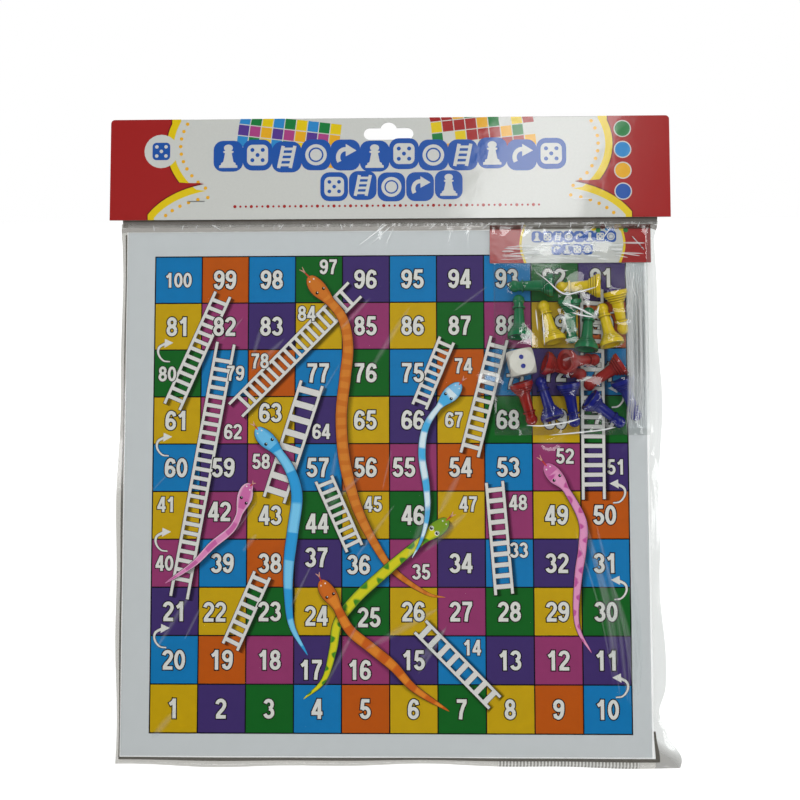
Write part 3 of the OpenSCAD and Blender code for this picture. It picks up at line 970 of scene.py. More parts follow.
@dataclass
class Board:
    """The board faced with paper: numbered squares, ladders and snakes in front, a plain track behind."""

    square: float = 30.0
    left: float = -149.5
    low: float = -185.65
    line: float = 0.8
    cap: float = 12.2
    small_cap: float = 9.6
    rail: float = 1.75
    edge: float = 0.32
    number_level: float = 3.8
    ladder_shade: float = 4.2
    snake_shade: float = 5.0
    rungs_start: float = 0.07
    rungs_span: float = 0.86
    head_grow: float = 1.42
    head_least: float = 9.4
    head_long: float = 1.95
    ladder_drop: Point = (1.1, -0.9)
    snake_drop: Point = (1.2, -1.4)
    tread_least: float = 1.55
    tread_share: float = 0.42
    track_cell: float = 20.0

    def at(self, p: Point) -> Point:
        """Turns squares of the grid into millimetres."""
        return (self.left + self.square * p[0], self.low + self.square * p[1])

    def art(self, name: str) -> Artwork:
        """Starts a print on the board's front."""
        return Artwork(name, "board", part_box("board_front_sheet")[1].z / MM)

    def squares(self) -> None:
        """Prints the coloured squares and the thin lines around them."""
        art = self.art("printed_squares")
        for row, letters in enumerate(ROWS):
            for col, letter in enumerate(letters):
                corners = ((col, row), (col + 1, row), (col + 1, row + 1), (col, row + 1))
                art.polygon([self.at(c) for c in corners], Square[letter].ink(), 0)
        art.build("printed_paper")
        lines = self.art("printed_lines")
        over = self.line / 2 / self.square
        for k in range(11):
            lines.ribbon([self.at((k, -over)), self.at((k, 10 + over))], self.line, BLACK_INK, 1)
            lines.ribbon([self.at((-over, k)), self.at((10 + over, k))], self.line, BLACK_INK, 2)
        lines.build("printed_paper")

    def numbers(self) -> None:
        """Prints the numbers, which run to and fro up the board."""
        art = self.art("printed_numbers")
        for number in range(1, 101):
            row, step = divmod(number - 1, 10)
            col = step if row % 2 == 0 else 9 - step
            small = number in SMALL_NUMBERS
            where = SMALL_NUMBERS.get(number) or MOVED_NUMBERS.get(number) or (col + 0.49, row + 0.5)
            cap = self.small_cap if small or number == 100 else self.cap
            write_number(art, str(number), self.at(where), cap, self.number_level)
        art.build("printed_paper")

    def arrows(self) -> None:
        """Prints the bent arrows that lead from row to row."""
        art = self.art("printed_arrows")
        for row in range(1, 10):
            right = row % 2 == 1
            sign = -1 if right else 1
            base = 10 if right else 0
            bend, tip = (
                [self.at((base + sign * x, row + y)) for x, y in shape] for shape in (ARROW_BEND, ARROW_TIP)
            )
            path = smooth_path(bend, 6)
            thin = np.linspace(0.8, 1.7, len(path))
            art.ribbon(path, thin + 2 * self.edge, LADDER_EDGE, 3)
            art.ribbon(path, thin, DIGIT_WHITE, 4)
            art.polygon(tip, DIGIT_WHITE, 5)
        art.build("printed_paper")

    def ladders(self) -> None:
        """Prints the ladders with their soft shadows."""
        shade = self.art("printed_ladder_shadows")
        art = self.art("printed_ladders")
        for ladder in LADDERS:
            feet = [np.array(self.at(p)) for p in (ladder.foot_left, ladder.foot_right)]
            tops = [np.array(self.at(p)) for p in (ladder.top_left, ladder.top_right)]
            drop = np.array(self.ladder_drop)
            low = ladder.level
            for k, (foot, top) in enumerate(zip(feet, tops)):
                way = unit(top - foot)
                cast = [foot + drop, top + drop]
                wide = self.rail + self.ladder_shade
                shade.ribbon(cast, wide, SHADE, low + 0.3 * k, (-1, -0.4, 0.4, 1), (0, 0.5, 0.5, 0))
                longer = [foot - way * self.edge, top + way * self.edge]
                art.ribbon(longer, self.rail + 2 * self.edge, LADDER_EDGE, low + 0.6)
                art.ribbon([foot, top], self.rail, LADDER_WHITE, low + 1.0)
            span = float(np.linalg.norm(tops[0] - feet[0])) * self.rungs_span / ladder.gaps
            tread = max(self.tread_least, span * self.tread_share)
            for i in range(ladder.gaps + 1):
                t = self.rungs_start + self.rungs_span * i / ladder.gaps
                ends = [f + (p - f) * t for f, p in zip(feet, tops)]
                way = unit(ends[1] - ends[0])
                inner = [ends[0] + way * self.rail / 2, ends[1] - way * self.rail / 2]
                art.ribbon(inner, tread + 2 * self.edge, LADDER_EDGE, low + 0.8)
                art.ribbon(inner, tread, LADDER_WHITE, low + 1.2)
        shade.build("printed_paper")
        art.build("printed_paper")

    def snakes(self) -> None:
        """Prints the snakes, each with a dark edge, eyes, nostrils and a forked tongue."""
        shade = self.art("printed_snake_shadows")
        art = self.art("printed_snakes")
        for snake in SNAKES:
            path = smooth_path([self.at(p) for p in snake.spine], 14)
            run = run_along(path)
            head_w = max(snake.width * self.head_grow, self.head_least)
            head_l = head_w * self.head_long
            widths = self.snake_widths(run, snake.width, head_w, head_l)
            fade = np.clip((run[-1] - run) / (0.3 * run[-1]), 0, 1)
            cast = path + np.outer(fade, self.snake_drop)
            wide = widths + self.snake_shade * fade
            shade.ribbon(cast, wide, SHADE, snake.level - 1, (-1, -0.5, 0.5, 1), (0, 0.4, 0.4, 0))
            art.ribbon(path, widths + 2 * self.edge * np.minimum(1, 3 * fade), LADDER_EDGE, snake.level)
            art.ribbon(path, widths, snake.ink, snake.level + 1, (-1.0, -0.6, 0.0, 0.6, 1.0), (1,) * 5)
            self.snake_face(art, snake, path, run, head_w, head_l)
        shade.build("printed_paper")
        art.build("printed_paper")

    @staticmethod
    def snake_widths(run: np.ndarray, width: float, head_w: float, head_l: float) -> np.ndarray:
        """Gives the width of a snake along its length.

        Args:
            run: Distance from the nose.
            width: Width of the body.
            head_w: Width of the head.
            head_l: Length of the head.

        Returns:
            The width at each distance.
        """
        u = run / head_l
        nose = np.sqrt(np.clip(1 - (1 - np.clip(u / 0.5, 0, 1)) ** 2, 0, 1)) * head_w
        blend = np.clip((u - 0.5) / 0.7, 0, 1)
        blend = blend * blend * (3 - 2 * blend)
        neck = head_w + (0.78 * width - head_w) * blend
        grown = 0.78 * width + 0.22 * width * np.clip((run - head_l) / (0.2 * run[-1]), 0, 1)
        body = np.where(u < 0.5, nose, np.where(u < 1.2, neck, grown))
        left = np.clip((run[-1] - run) / (0.44 * run[-1]), 0, 1)
        return np.maximum(body * left**0.56, 0.25)

    def snake_face(
        self, art: Artwork, snake: Snake, path: np.ndarray, run: np.ndarray, head_w: float, head_l: float
    ) -> None:
        """Prints a snake's eyes, nostrils and tongue.

        Args:
            art: The print.
            snake: The snake.
            path: Its spine in millimetres.
            run: Distance from the nose along the spine.
            head_w: Width of the head.
            head_l: Length of the head.
        """
        top = snake.level + 2

        def on_head(share: float, side: float) -> Point:
            """Gives a place on the head, by its share of the length and of the half width."""
            x = float(np.interp(share * head_l, run, path[:, 0]))
            y = float(np.interp(share * head_l, run, path[:, 1]))
            way = unit(path[8] - path[0])
            return (x - way[1] * side * head_w / 2, y + way[0] * side * head_w / 2)

        for side in (-1, 1):
            eye = on_head(0.62, 0.5 * side)
            r = head_w * 0.105
            if snake.pale_eyes:
                art.disc(eye, r * 1.5, EYE_WHITE, top)
            art.disc(eye, r, BLACK_INK, top + 1)
            art.disc((eye[0] + r * 0.3, eye[1] + r * 0.35), r * 0.35, EYE_WHITE, top + 2)
            art.disc(on_head(0.17, 0.32 * side), head_w * 0.05, EYE_WHITE, top)
        tip = np.array(self.at(snake.tongue))
        root = np.array(on_head(0.08, 0))
        fork = root + (tip - root) * 0.55
        way = unit(tip - root)
        across = np.array([-way[1], way[0]])
        reach = float(np.linalg.norm(tip - fork))
        art.ribbon([root, fork], 0.8, TONGUE, top)
        for side in (-1, 1):
            middle = fork + way * reach * 0.5 + across * side * 0.5
            prong = [fork - way * 0.3, middle, tip + across * side * 1.3]
            art.ribbon(prong, (0.75, 0.6, 0.25), TONGUE_PALE, top)

    def track(self) -> None:
        """Prints a plain cross and circle track of four colours on the board's back."""
        art = Artwork("printed_track", "board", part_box("board_back_sheet")[0].z / MM, -1)
        cell = self.track_cell
        yards = {(0, 0): CARD_RED, (9, 0): CARD_GREEN, (0, 9): CARD_SKY, (9, 9): CARD_YELLOW}

        def spot(col: float, row: float) -> Point:
            """Gives a place on the track, by column and row."""
            return (self.left + col * cell, self.low + row * cell)

        def box(col: float, row: float, finish: Finish, level: int = 0, cells: int = 1) -> None:
            """Prints one square of the track."""
            x, y = spot(col, row)
            size = cells * cell
            art.polygon(((x, y), (x + size, y), (x + size, y + size), (x, y + size)), finish, level)

        for (col, row), finish in yards.items():
            box(col, row, finish, cells=6)
            box(col + 1, row + 1, BACK_PAPER, 1, 4)
            for i, j in ((2, 2), (2, 4), (4, 2), (4, 4)):
                art.disc(spot(col + i, row + j), 0.7 * cell, finish, 2)
        for i in range(5):
            box(7, 1 + i, CARD_RED)
            box(7, 9 + i, CARD_YELLOW)
            box(1 + i, 7, CARD_SKY)
            box(9 + i, 7, CARD_GREEN)
        corners = [spot(col, row) for col, row in ((6, 6), (9, 6), (9, 9), (6, 9))]
        for k, finish in enumerate((CARD_RED, CARD_GREEN, CARD_YELLOW, CARD_SKY)):
            art.polygon((corners[k], corners[(k + 1) % 4], spot(7.5, 7.5)), finish, 0)
        for k in range(16):
            low, high = (0, 15) if k in (0, 6, 7, 8, 9, 15) else (6, 9)
            art.ribbon([spot(k, low), spot(k, high)], 0.5, BLACK_INK, 3)
            art.ribbon([spot(low, k), spot(high, k)], 0.5, BLACK_INK, 4)
        art.build("printed_paper")

    def build(self) -> None:
        """Prints both faces and dresses the board's own layers."""
        PAPER.dress(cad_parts["board_front_sheet"])
        BACK_PAPER.dress(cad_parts["board_back_sheet"])
        Chipboard("pulp_chipboard_cut").dress(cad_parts["board_core"])
        self.squares()
        self.numbers()
        self.arrows()
        self.ladders()
        self.snakes()
        self.track()


PAWN_SIDE: Path = [
    (0.3, 0.0), (0.3, 0.1), (0.24, 0.13), (0.24, 0.2), (0.17, 0.25), (0.11, 0.62), (0.17, 0.66), (0.17, 0.71),
    (0.12, 0.73),
]
PAWN_HEAD = arc(0, 0.85, 0.15, 0.15, -50, 230)
PAWN_SHAPE: Path = [*PAWN_SIDE, *PAWN_HEAD, *((-x, y) for x, y in PAWN_SIDE[::-1])]
PIPS: dict[int, tuple[Point, ...]] = {
    1: ((0, 0),),
    2: ((0, 0.72), (0, -0.72)),
    3: ((-1, 1), (0, 0), (1, -1)),
    4: ((-1, 1), (1, -1), (1, 1), (-1, -1)),
    5: ((-1, 1), (1, -1), (1, 1), (-1, -1), (0, 0)),
    6: ((-1, 1), (1, -1), (1, 1), (-1, -1), (-1, 0), (1, 0)),
}


def rounded_box(centre: Point, w: float, h: float, r: float) -> Path:
    """Draws a box with round corners as points."""
    out: Path = []
    for k, (sx, sy) in enumerate(((1, 1), (-1, 1), (-1, -1), (1, -1))):
        out += arc(centre[0] + sx * (w / 2 - r), centre[1] + sy * (h / 2 - r), r, r, 90 * k, 90 * k + 90, 5)
    return out


class Token(Enum):
    """The plain game pieces that stand in a row on the cards."""

    DIE = "die"
    PAWN = "pawn"
    COUNTER = "counter"
    LADDER = "ladder"
    ARROW = "arrow"


TOKEN_ROW = (
    Token.PAWN, Token.DIE, Token.LADDER, Token.COUNTER, Token.ARROW, Token.PAWN, Token.DIE, Token.COUNTER,
    Token.LADDER, Token.PAWN, Token.ARROW, Token.DIE,
)


def print_token(art: Artwork, kind: Token, centre: Point, size: float, level: float) -> None:
    """Prints a white game piece on a thick blue edge.

    Args:
        art: The print.
        kind: The piece.
        centre: Its middle.
        size: Its height.
        level: How many layers of ink lie under it.
    """
    edge = size * 0.2
    x, y = centre
    white = level + 1

    def at(across: float, up: float) -> Point:
        """Gives a place on the token, in shares of its size."""
        return (x + across * size, y + up * size)

    art.polygon(rounded_box(centre, size * 0.92 + 2 * edge, size + 2 * edge, 0.42 * size), CARD_BLUE, level)
    if kind is Token.DIE:
        art.polygon(rounded_box(centre, size * 0.94, size * 0.94, 0.24 * size), CARD_STOCK, white)
        for px, py in PIPS[5]:
            art.disc(at(px * 0.23, py * 0.23), size * 0.09, CARD_BLUE, white + 1)
    elif kind is Token.PAWN:
        art.polygon([at(px * 1.35, (py - 0.5) * 1.06) for px, py in PAWN_SHAPE], CARD_STOCK, white)
    elif kind is Token.COUNTER:
        art.disc(centre, size * 0.48, CARD_STOCK, white)
        ring = oval(x, y, size * 0.3, size * 0.3)
        art.ribbon(ring, size * 0.07, CARD_BLUE, white + 1, closed=True)
    elif kind is Token.LADDER:
        for side in (-0.26, 0.26):
            art.ribbon([at(side - 0.1, -0.5), at(side + 0.1, 0.5)], size * 0.15, CARD_STOCK, white)
        for lift in (-0.36, -0.12, 0.12, 0.36):
            rung = [at(lift * 0.2 - 0.26, lift), at(lift * 0.2 + 0.26, lift)]
            art.ribbon(rung, size * 0.12, CARD_STOCK, white + 0.4)
    else:
        art.ribbon(arc(*at(0, -0.1), size * 0.32, size * 0.36, 215, 60, 12), size * 0.19, CARD_STOCK, white)
        art.polygon([at(0.02, 0.5), at(0.5, 0.2), at(0.02, -0.06)], CARD_STOCK, white + 0.4)


@dataclass
class HeaderCard:
    """The folded card over the bag's mouth: red ends and a white field with plain rows of tokens."""

    half: float = 180.0
    low: float = 138.65
    high: float = 66.0
    corner: float = 2.5
    field_x: float = 134.0
    strip_cell: float = 7.4
    strip_gap: float = 0.04

    def lobes(self, side: int, out: float, back: bool = False) -> Path:
        """Draws the white field's end as two round lobes.

        Args:
            side: -1 for the left end, 1 for the right.
            out: How far outside the field's own edge.
            back: Whether to run from the top down.

        Returns:
            The points, from the lower edge to the fold or the other way.
        """
        upper = arc(self.field_x - 62, 48.0, 64.0 + out, 42.0 + out, -46, 25, 20)
        lower = arc(self.field_x - 30, -14.0, 50.0 + out, 31.0 + out, 27, 75, 12)
        path = [p for p in lower if p[1] >= 0 and p[0] > self.field_x - 22 - out * 0.4]
        path += [p for p in upper if p[1] <= self.high and p[1] > path[-1][1]]
        path = [(path[0][0], 0.0), *path, (path[-1][0], self.high)]
        points = [(side * x, self.low + y) for x, y in path]
        return points[::-1] if back else points

    def end_panel(self, art: Artwork, side: int, finish: Finish, out: float, level: int) -> None:
        """Prints one end of the card, from the lobes to the card's edge.

        Args:
            art: The print.
            side: -1 for the left end, 1 for the right.
            finish: Its ink.
            out: How far outside the field's own edge it starts.
            level: How many layers of ink lie under it.
        """
        x = side * self.half
        top = self.low + self.high
        r = self.corner
        turn = []
        for angle in range(90, -1, -15):
            t = math.radians(angle)
            turn.append((x - side * r * (1 - math.sin(t)), top - r * (1 - math.cos(t))))
        art.polygon([*self.lobes(side, out, True), (x, self.low), *turn], finish, level)

    def board_strip(self, art: Artwork, left: float, tilt: float, colours: Sequence[Finish]) -> None:
        """Prints a tilted patch of small coloured squares below the fold.

        Args:
            art: The print.
            left: Where it starts.
            tilt: Its turn in degrees.
            colours: Inks, used in turn.
        """
        cell = self.strip_cell
        gap = self.strip_gap
        c, s = math.cos(math.radians(tilt)), math.sin(math.radians(tilt))
        top = self.low + self.high

        def spot(col: float, row: float) -> Point:
            """Gives a corner of the patch, cut off at the fold."""
            x, y = col * cell, -row * cell
            return (left + x * c - y * s, min(top - 0.05, top + 4.0 + x * s + y * c))

        for row in range(4):
            for col in range(9):
                x0, x1 = col + gap, col + 1 - gap
                y0, y1 = row + gap, row + 1 - gap
                finish = colours[(col * 2 + row * 3) % len(colours)]
                art.polygon([spot(x0, y0), spot(x1, y0), spot(x1, y1), spot(x0, y1)], finish, 1)

    def tokens(self, art: Artwork) -> None:
        """Prints two rows of tokens and a row of dots below them."""
        for k, kind in enumerate(TOKEN_ROW):
            centre = (-103.5 + k * 18.9, self.low + 41.5 + 0.8 * math.sin(k * 2.3))
            print_token(art, kind, centre, 14.5, 4 + 0.4 * (k % 2))
        for k, kind in enumerate(TOKEN_ROW[1:6]):
            centre = (-35 + k * 18.4, self.low + 21.0 + 0.7 * math.sin(k * 1.9))
            print_token(art, kind, centre, 13.5, 7 + 0.4 * (k % 2))
        for k in range(56):
            art.disc((-99 + k * 3.55, self.low + 8.4), 0.75 + 0.3 * (k % 3 == 0), CARD_RED, 1)

    def badges(self, art: Artwork) -> None:
        """Prints a column of discs on the right end and a die on the left end."""
        for k, finish in enumerate((CARD_GREEN, CARD_SKY, CARD_AMBER, CARD_BLUE)):
            centre = (150.0, self.low + 57.5 - 13.6 * k)
            art.disc(centre, 5.6, CARD_STOCK, 3)
            art.disc(centre, 4.9, finish, 4)
        badge = (-147.0, self.low + 45.0)
        art.disc(badge, 11.0, CARD_STOCK, 3)
        art.polygon(rounded_box(badge, 11.5, 11.5, 2.6), CARD_BLUE, 4)
        for x, y in PIPS[5]:
            art.disc((badge[0] + x * 3, badge[1] + y * 3), 1.15, CARD_STOCK, 5)

    def build(self) -> None:
        """Dresses the card and prints both leaves."""
        CARD_STOCK.dress(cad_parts["header_card"])
        StapleWire("galvanised_staple_wire").dress(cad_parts["header_staples"])
        low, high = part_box("header_card")
        art = Artwork("printed_header", "header", high.z / MM)
        for side in (-1, 1):
            self.end_panel(art, side, CARD_YELLOW, 3.0, 0)
            self.end_panel(art, side, CARD_DEEP_RED, 7.6, 1)
            self.end_panel(art, side, CARD_RED, 8.4, 2)
            for x, y in self.lobes(side, -1.5)[2:-2:2]:
                art.disc((x, y), 1.15, CARD_AMBER, 1)
        many = (CARD_SKY, CARD_AMBER, CARD_GREEN, CARD_PURPLE, CARD_YELLOW, CARD_PINK)
        warm = (CARD_RED, CARD_STOCK, CARD_RED, CARD_YELLOW, CARD_AMBER, CARD_RED, CARD_GREEN)
        self.board_strip(art, -96, -7, many)
        self.board_strip(art, 26, 6, warm)
        self.tokens(art)
        self.badges(art)
        art.build("printed_card")
        back = Artwork("printed_header_back", "header", low.z / MM, -1)
        for side in (-1, 1):
            self.end_panel(back, side, CARD_YELLOW, 3.0, 0)
            self.end_panel(back, side, CARD_RED, 8.0, 1)
        back.build("printed_card")


FOLD_LIFT = 0.06
FAR_BELOW = -100.0
OVER_PULL = 1.9
CROSS: tuple[Point, ...] = ((1, 0), (-1, 0), (0, 1), (0, -1))


@dataclass
class Fold:
    """A sharp fold in film, with a soft white line of painted highlight along it."""

    path: np.ndarray
    widths: np.ndarray
    finish: Finish


@dataclass
class Film:
    """A sheet of film over a grid of points, in millimetres."""

    x: np.ndarray
    y: np.ndarray
    z: np.ndarray
    cover: np.ndarray | None = None

    @staticmethod
    def over(left: float, right: float, low: float, high: float, step: float) -> "Film":
        """Lays out a flat grid.

        Args:
            left: Least x.
            right: Greatest x.
            low: Least y.
            high: Greatest y.
            step: Largest distance between points.

        Returns:
            The grid at z = 0.
        """
        xs = np.linspace(left, right, int(math.ceil((right - left) / step)) + 1)
        ys = np.linspace(low, high, int(math.ceil((high - low) / step)) + 1)
        x, y = np.meshgrid(xs, ys)
        return Film(x, y, np.zeros_like(x))

    def within(self, left: float, right: float, low: float, high: float) -> np.ndarray:
        """Marks the points inside a box."""
        return (self.x > left) & (self.x < right) & (self.y > low) & (self.y < high)

    def drape(self, under: np.ndarray, rim: np.ndarray, load: float, rounds: int) -> None:
        """Pulls the film taut over what lies under it.

        Args:
            under: Least height at each point.
            rim: Height where the film is held, and nan where it is free.
            load: Downward pull, as the curvature that it gives.
            rounds: Number of passes.
        """
        step = self.x[0, 1] - self.x[0, 0]
        held = ~np.isnan(rim)
        z = np.where(held, np.nan_to_num(rim), under)
        rows, cols = np.indices(z.shape)
        inside = np.zeros_like(held)
        inside[1:-1, 1:-1] = True
        for _ in range(rounds):
            for parity in (0, 1):
                mean = np.zeros_like(z)
                mean[1:-1, 1:-1] = (z[:-2, 1:-1] + z[2:, 1:-1] + z[1:-1, :-2] + z[1:-1, 2:]) / 4
                pulled = z + OVER_PULL * (mean - load * step * step / 4 - z)
                pick = inside & ~held & ((rows + cols) % 2 == parity)
                z = np.where(pick, np.maximum(pulled, under), z)
        self.z = z

    def crease(self, start: Point, end: Point, height: float, width: float) -> np.ndarray:
        """Raises one straight sharp fold.

        Args:
            start: One end.
            end: The other end.
            height: Height of its ridge.
            width: How wide it is on each side.

        Returns:
            The rise at every point.
        """
        dx, dy = end[0] - start[0], end[1] - start[1]
        t = np.clip(((self.x - start[0]) * dx + (self.y - start[1]) * dy) / (dx * dx + dy * dy), 0, 1)
        away = np.hypot(self.x - start[0] - t * dx, self.y - start[1] - t * dy)
        return height * np.exp(-away / width) * (0.25 + 0.75 * np.sin(np.pi * t))

    def height_at(self, x: np.ndarray, y: np.ndarray) -> np.ndarray:
        """Reads the film's height at other points, very low outside it."""
        xs, ys = self.x[0], self.y[:, 0]
        i = np.clip((x - xs[0]) / (xs[1] - xs[0]), 0, len(xs) - 1.001)
        j = np.clip((y - ys[0]) / (ys[1] - ys[0]), 0, len(ys) - 1.001)
        a, b = i.astype(int), j.astype(int)
        u, v = i - a, j - b
        z = self.z
        near = z[b, a] * (1 - u) + z[b, a + 1] * u
        far = z[b + 1, a] * (1 - u) + z[b + 1, a + 1] * u
        outside = (x < xs[0] - 1) | (x > xs[-1] + 1) | (y < ys[0] - 1) | (y > ys[-1] + 1)
        return np.where(outside, FAR_BELOW, near * (1 - v) + far * v)

    def fold(self, path: Sequence[Point], width: float, finish: Finish) -> Fold:
        """Lays a line of painted highlight along a fold of the film.

        Args:
            path: Its corners.
            width: Its greatest width.
            finish: The film's look along it.

        Returns:
            The fold.
        """
        p = smooth_path(path, 10)
        t = np.linspace(0, 1, len(p))
        lifted = np.column_stack([p, self.height_at(p[:, 0], p[:, 1]) + FOLD_LIFT])
        return Fold(lifted, width * np.sin(np.pi * t) ** 0.5, finish)

    def build(
        self,
        name: str,
        body: str | None,
        finish: Finish,
        zones: Sequence[tuple[Finish, np.ndarray]] = (),
        folds: Sequence[Fold] = (),
    ) -> bpy.types.Object:
        """Makes the film's mesh.

        Args:
            name: The piece's name.
            body: The body that it rides on, or None for a piece that is only linked to the scene.
            finish: The film's look.
            zones: Other looks, each with a mask of the points that it covers.
            folds: Lines of painted highlight that lie on the film.

        Returns:
            The new object.
        """
        rows, cols = self.x.shape
        points = np.stack([self.x, self.y, self.z], -1).reshape(-1, 3)
        index = np.arange(rows * cols).reshape(rows, cols)
        quads = np.stack([index[:-1, :-1], index[:-1, 1:], index[1:, 1:], index[1:, :-1]], -1).reshape(-1, 4)
        slots = np.zeros(len(quads), int)
        for k, (_, mask) in enumerate(zones, 1):
            slots[mask.reshape(-1)[quads].all(1)] = k
        finishes = [finish, *(look for look, _ in zones)]
        verts, faces, kinds = points.tolist(), quads.tolist(), slots.tolist()
        covers = [1.0] * len(verts) if self.cover is None else self.cover.reshape(-1).tolist()
        for fold in folds:
            if fold.finish not in finishes:
                finishes.append(fold.finish)
            way = unit_rows(np.gradient(fold.path[:, :2], axis=0))
            side = np.column_stack([-way[:, 1], way[:, 0], 0 * fold.widths]) * fold.widths[:, None] / 2
            first = len(verts)
            strip = np.stack([fold.path - side, fold.path, fold.path + side], 1).reshape(-1, 3)
            verts += strip.tolist()
            covers += [0.0, 1.0, 0.0] * len(way)
            for a in range(first, first + 3 * len(way) - 3, 3):
                for k in (a, a + 1):
                    faces.append([k, k + 3, k + 4, k + 1])
                    kinds.append(finishes.index(fold.finish))
        obj = make_mesh(name, verts, faces, finishes, kinds, {"cover": covers}, True)
        if body:
            return place(obj, body)
        bpy.context.scene.collection.objects.link(obj)
        return obj

    def area(self) -> float:
        """Gives the film's area in square metres."""
        p = np.stack([self.x, self.y, self.z], -1) * MM
        a, b, c, d = p[:-1, :-1], p[:-1, 1:], p[1:, 1:], p[1:, :-1]
        first = np.linalg.norm(np.cross(b - a, c - a), axis=-1)
        second = np.linalg.norm(np.cross(c - a, d - a), axis=-1)
        return float((first + second).sum() / 2)

    def flat_size(self, wide: float, long: float) -> tuple[float, float]:
        """Gives the size of the film laid flat.

        Args:
            wide: Width of its plan in millimetres.
            long: Length of its plan in millimetres.

        Returns:
            Width and length in metres, grown so that their product is the film's area.
        """
        grow = math.sqrt(self.area() / (wide * long * MM * MM))
        return (wide * grow * MM, long * grow * MM)


COLOURS = ("green", "yellow", "red", "blue")
PAWNS = tuple(f"pawn_{colour}_{i}" for colour in COLOURS for i in range(1, 5))
PLASTICS = {
    "green": MouldedStyrene("moulded_styrene_green", "#067444"),
    "yellow": MouldedStyrene("moulded_styrene_yellow", "#EBCA02"),
    "red": MouldedStyrene("moulded_styrene_red", "#9A170F"),
    "blue": MouldedStyrene("moulded_styrene_blue", "#141B7E"),
}
DIE_FACES = (
    (2, (0, 0), 0), (5, (180, 0), 0), (1, (90, 0), 1), (6, (-90, 0), 1), (3, (0, 90), 1), (4, (0, -90), 1),
)


@dataclass
class LoosePieces:
    """The sixteen pawns and the die."""

    die_size: float = 16.0
    die_turn: float = 12.0
    pip_d: float = 3.0
    pip_depth: float = 0.5
    pip_step: float = 4.0
    paint: float = 0.03

    def build(self) -> None:
        """Dresses the pawns and the die, and paints the die's pips."""
        for pawn in PAWNS:
            PLASTICS[pawn.split("_")[1]].dress(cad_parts[pawn])
        MouldedStyrene("moulded_styrene_ivory", "#E6E2D6", rough=0.28).dress(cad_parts["die"])
        low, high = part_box("die")
        centre = (low + high) / 2 / MM
        verts: list[tuple[float, float, float]] = []
        faces: list[list[int]] = []
        slots: list[int] = []
        for count, turn, slot in DIE_FACES:
            self.pip_face(centre, count, turn, slot, verts, faces, slots)
        inks = [
            MouldedStyrene("pad_printed_blue", "#23309A", rough=0.4),
            MouldedStyrene("pad_printed_maroon", "#5A1520", rough=0.4),
        ]
        place(make_mesh("die_pips", verts, faces, inks, slots, {}, True), "die")

    def pip_face(
        self,
        centre: Vector,
        count: int,
        turn: tuple[int, int],
        slot: int,
        verts: list[tuple[float, float, float]],
        faces: list[list[int]],
        slots: list[int],
    ) -> None:
        """Adds the painted bowls of one face of the die.

        Args:
            centre: Middle of the die in millimetres.
            count: Number of pips.
            turn: The face's turn about X and then about Y, in degrees.
            slot: Material index.
            verts: Points, added to.
            faces: Faces, added to.
            slots: Material indices, added to.
        """
        bowl = (self.pip_d**2 / 4 + self.pip_depth**2) / (2 * self.pip_depth)
        a, b = (math.radians(angle) for angle in turn)
        spin = math.radians(self.die_turn)
        rings = 5
        sides = 20

        def lay(p: Vector) -> tuple[float, float, float]:
            """Turns a point of the upright face into the pack's frame."""
            y, z = p.y * math.cos(a) - p.z * math.sin(a), p.y * math.sin(a) + p.z * math.cos(a)
            x, z = p.x * math.cos(b) + z * math.sin(b), -p.x * math.sin(b) + z * math.cos(b)
            x, y = x * math.cos(spin) - y * math.sin(spin), x * math.sin(spin) + y * math.cos(spin)
            return (centre.x + x, centre.y + y, centre.z + z)

        for px, py in PIPS[count]:
            first = len(verts)
            for ring in range(rings + 1):
                r = self.pip_d / 2 * 0.97 * ring / rings
                z = self.die_size / 2 + bowl - self.pip_depth - math.sqrt(bowl**2 - r**2) + self.paint
                for k in range(sides if ring else 1):
                    t = 2 * math.pi * k / sides
                    x, y = px * self.pip_step + r * math.cos(t), py * self.pip_step + r * math.sin(t)
                    verts.append(lay(Vector((x, y, z))))
            for k in range(sides):
                m = (k + 1) % sides
                faces.append([first, first + 1 + k, first + 1 + m])
                slots.append(slot)
                for ring in range(1, rings):
                    inner = first + 1 + (ring - 1) * sides
                    faces.append([inner + k, inner + sides + k, inner + sides + m, inner + m])
                    slots.append(slot)


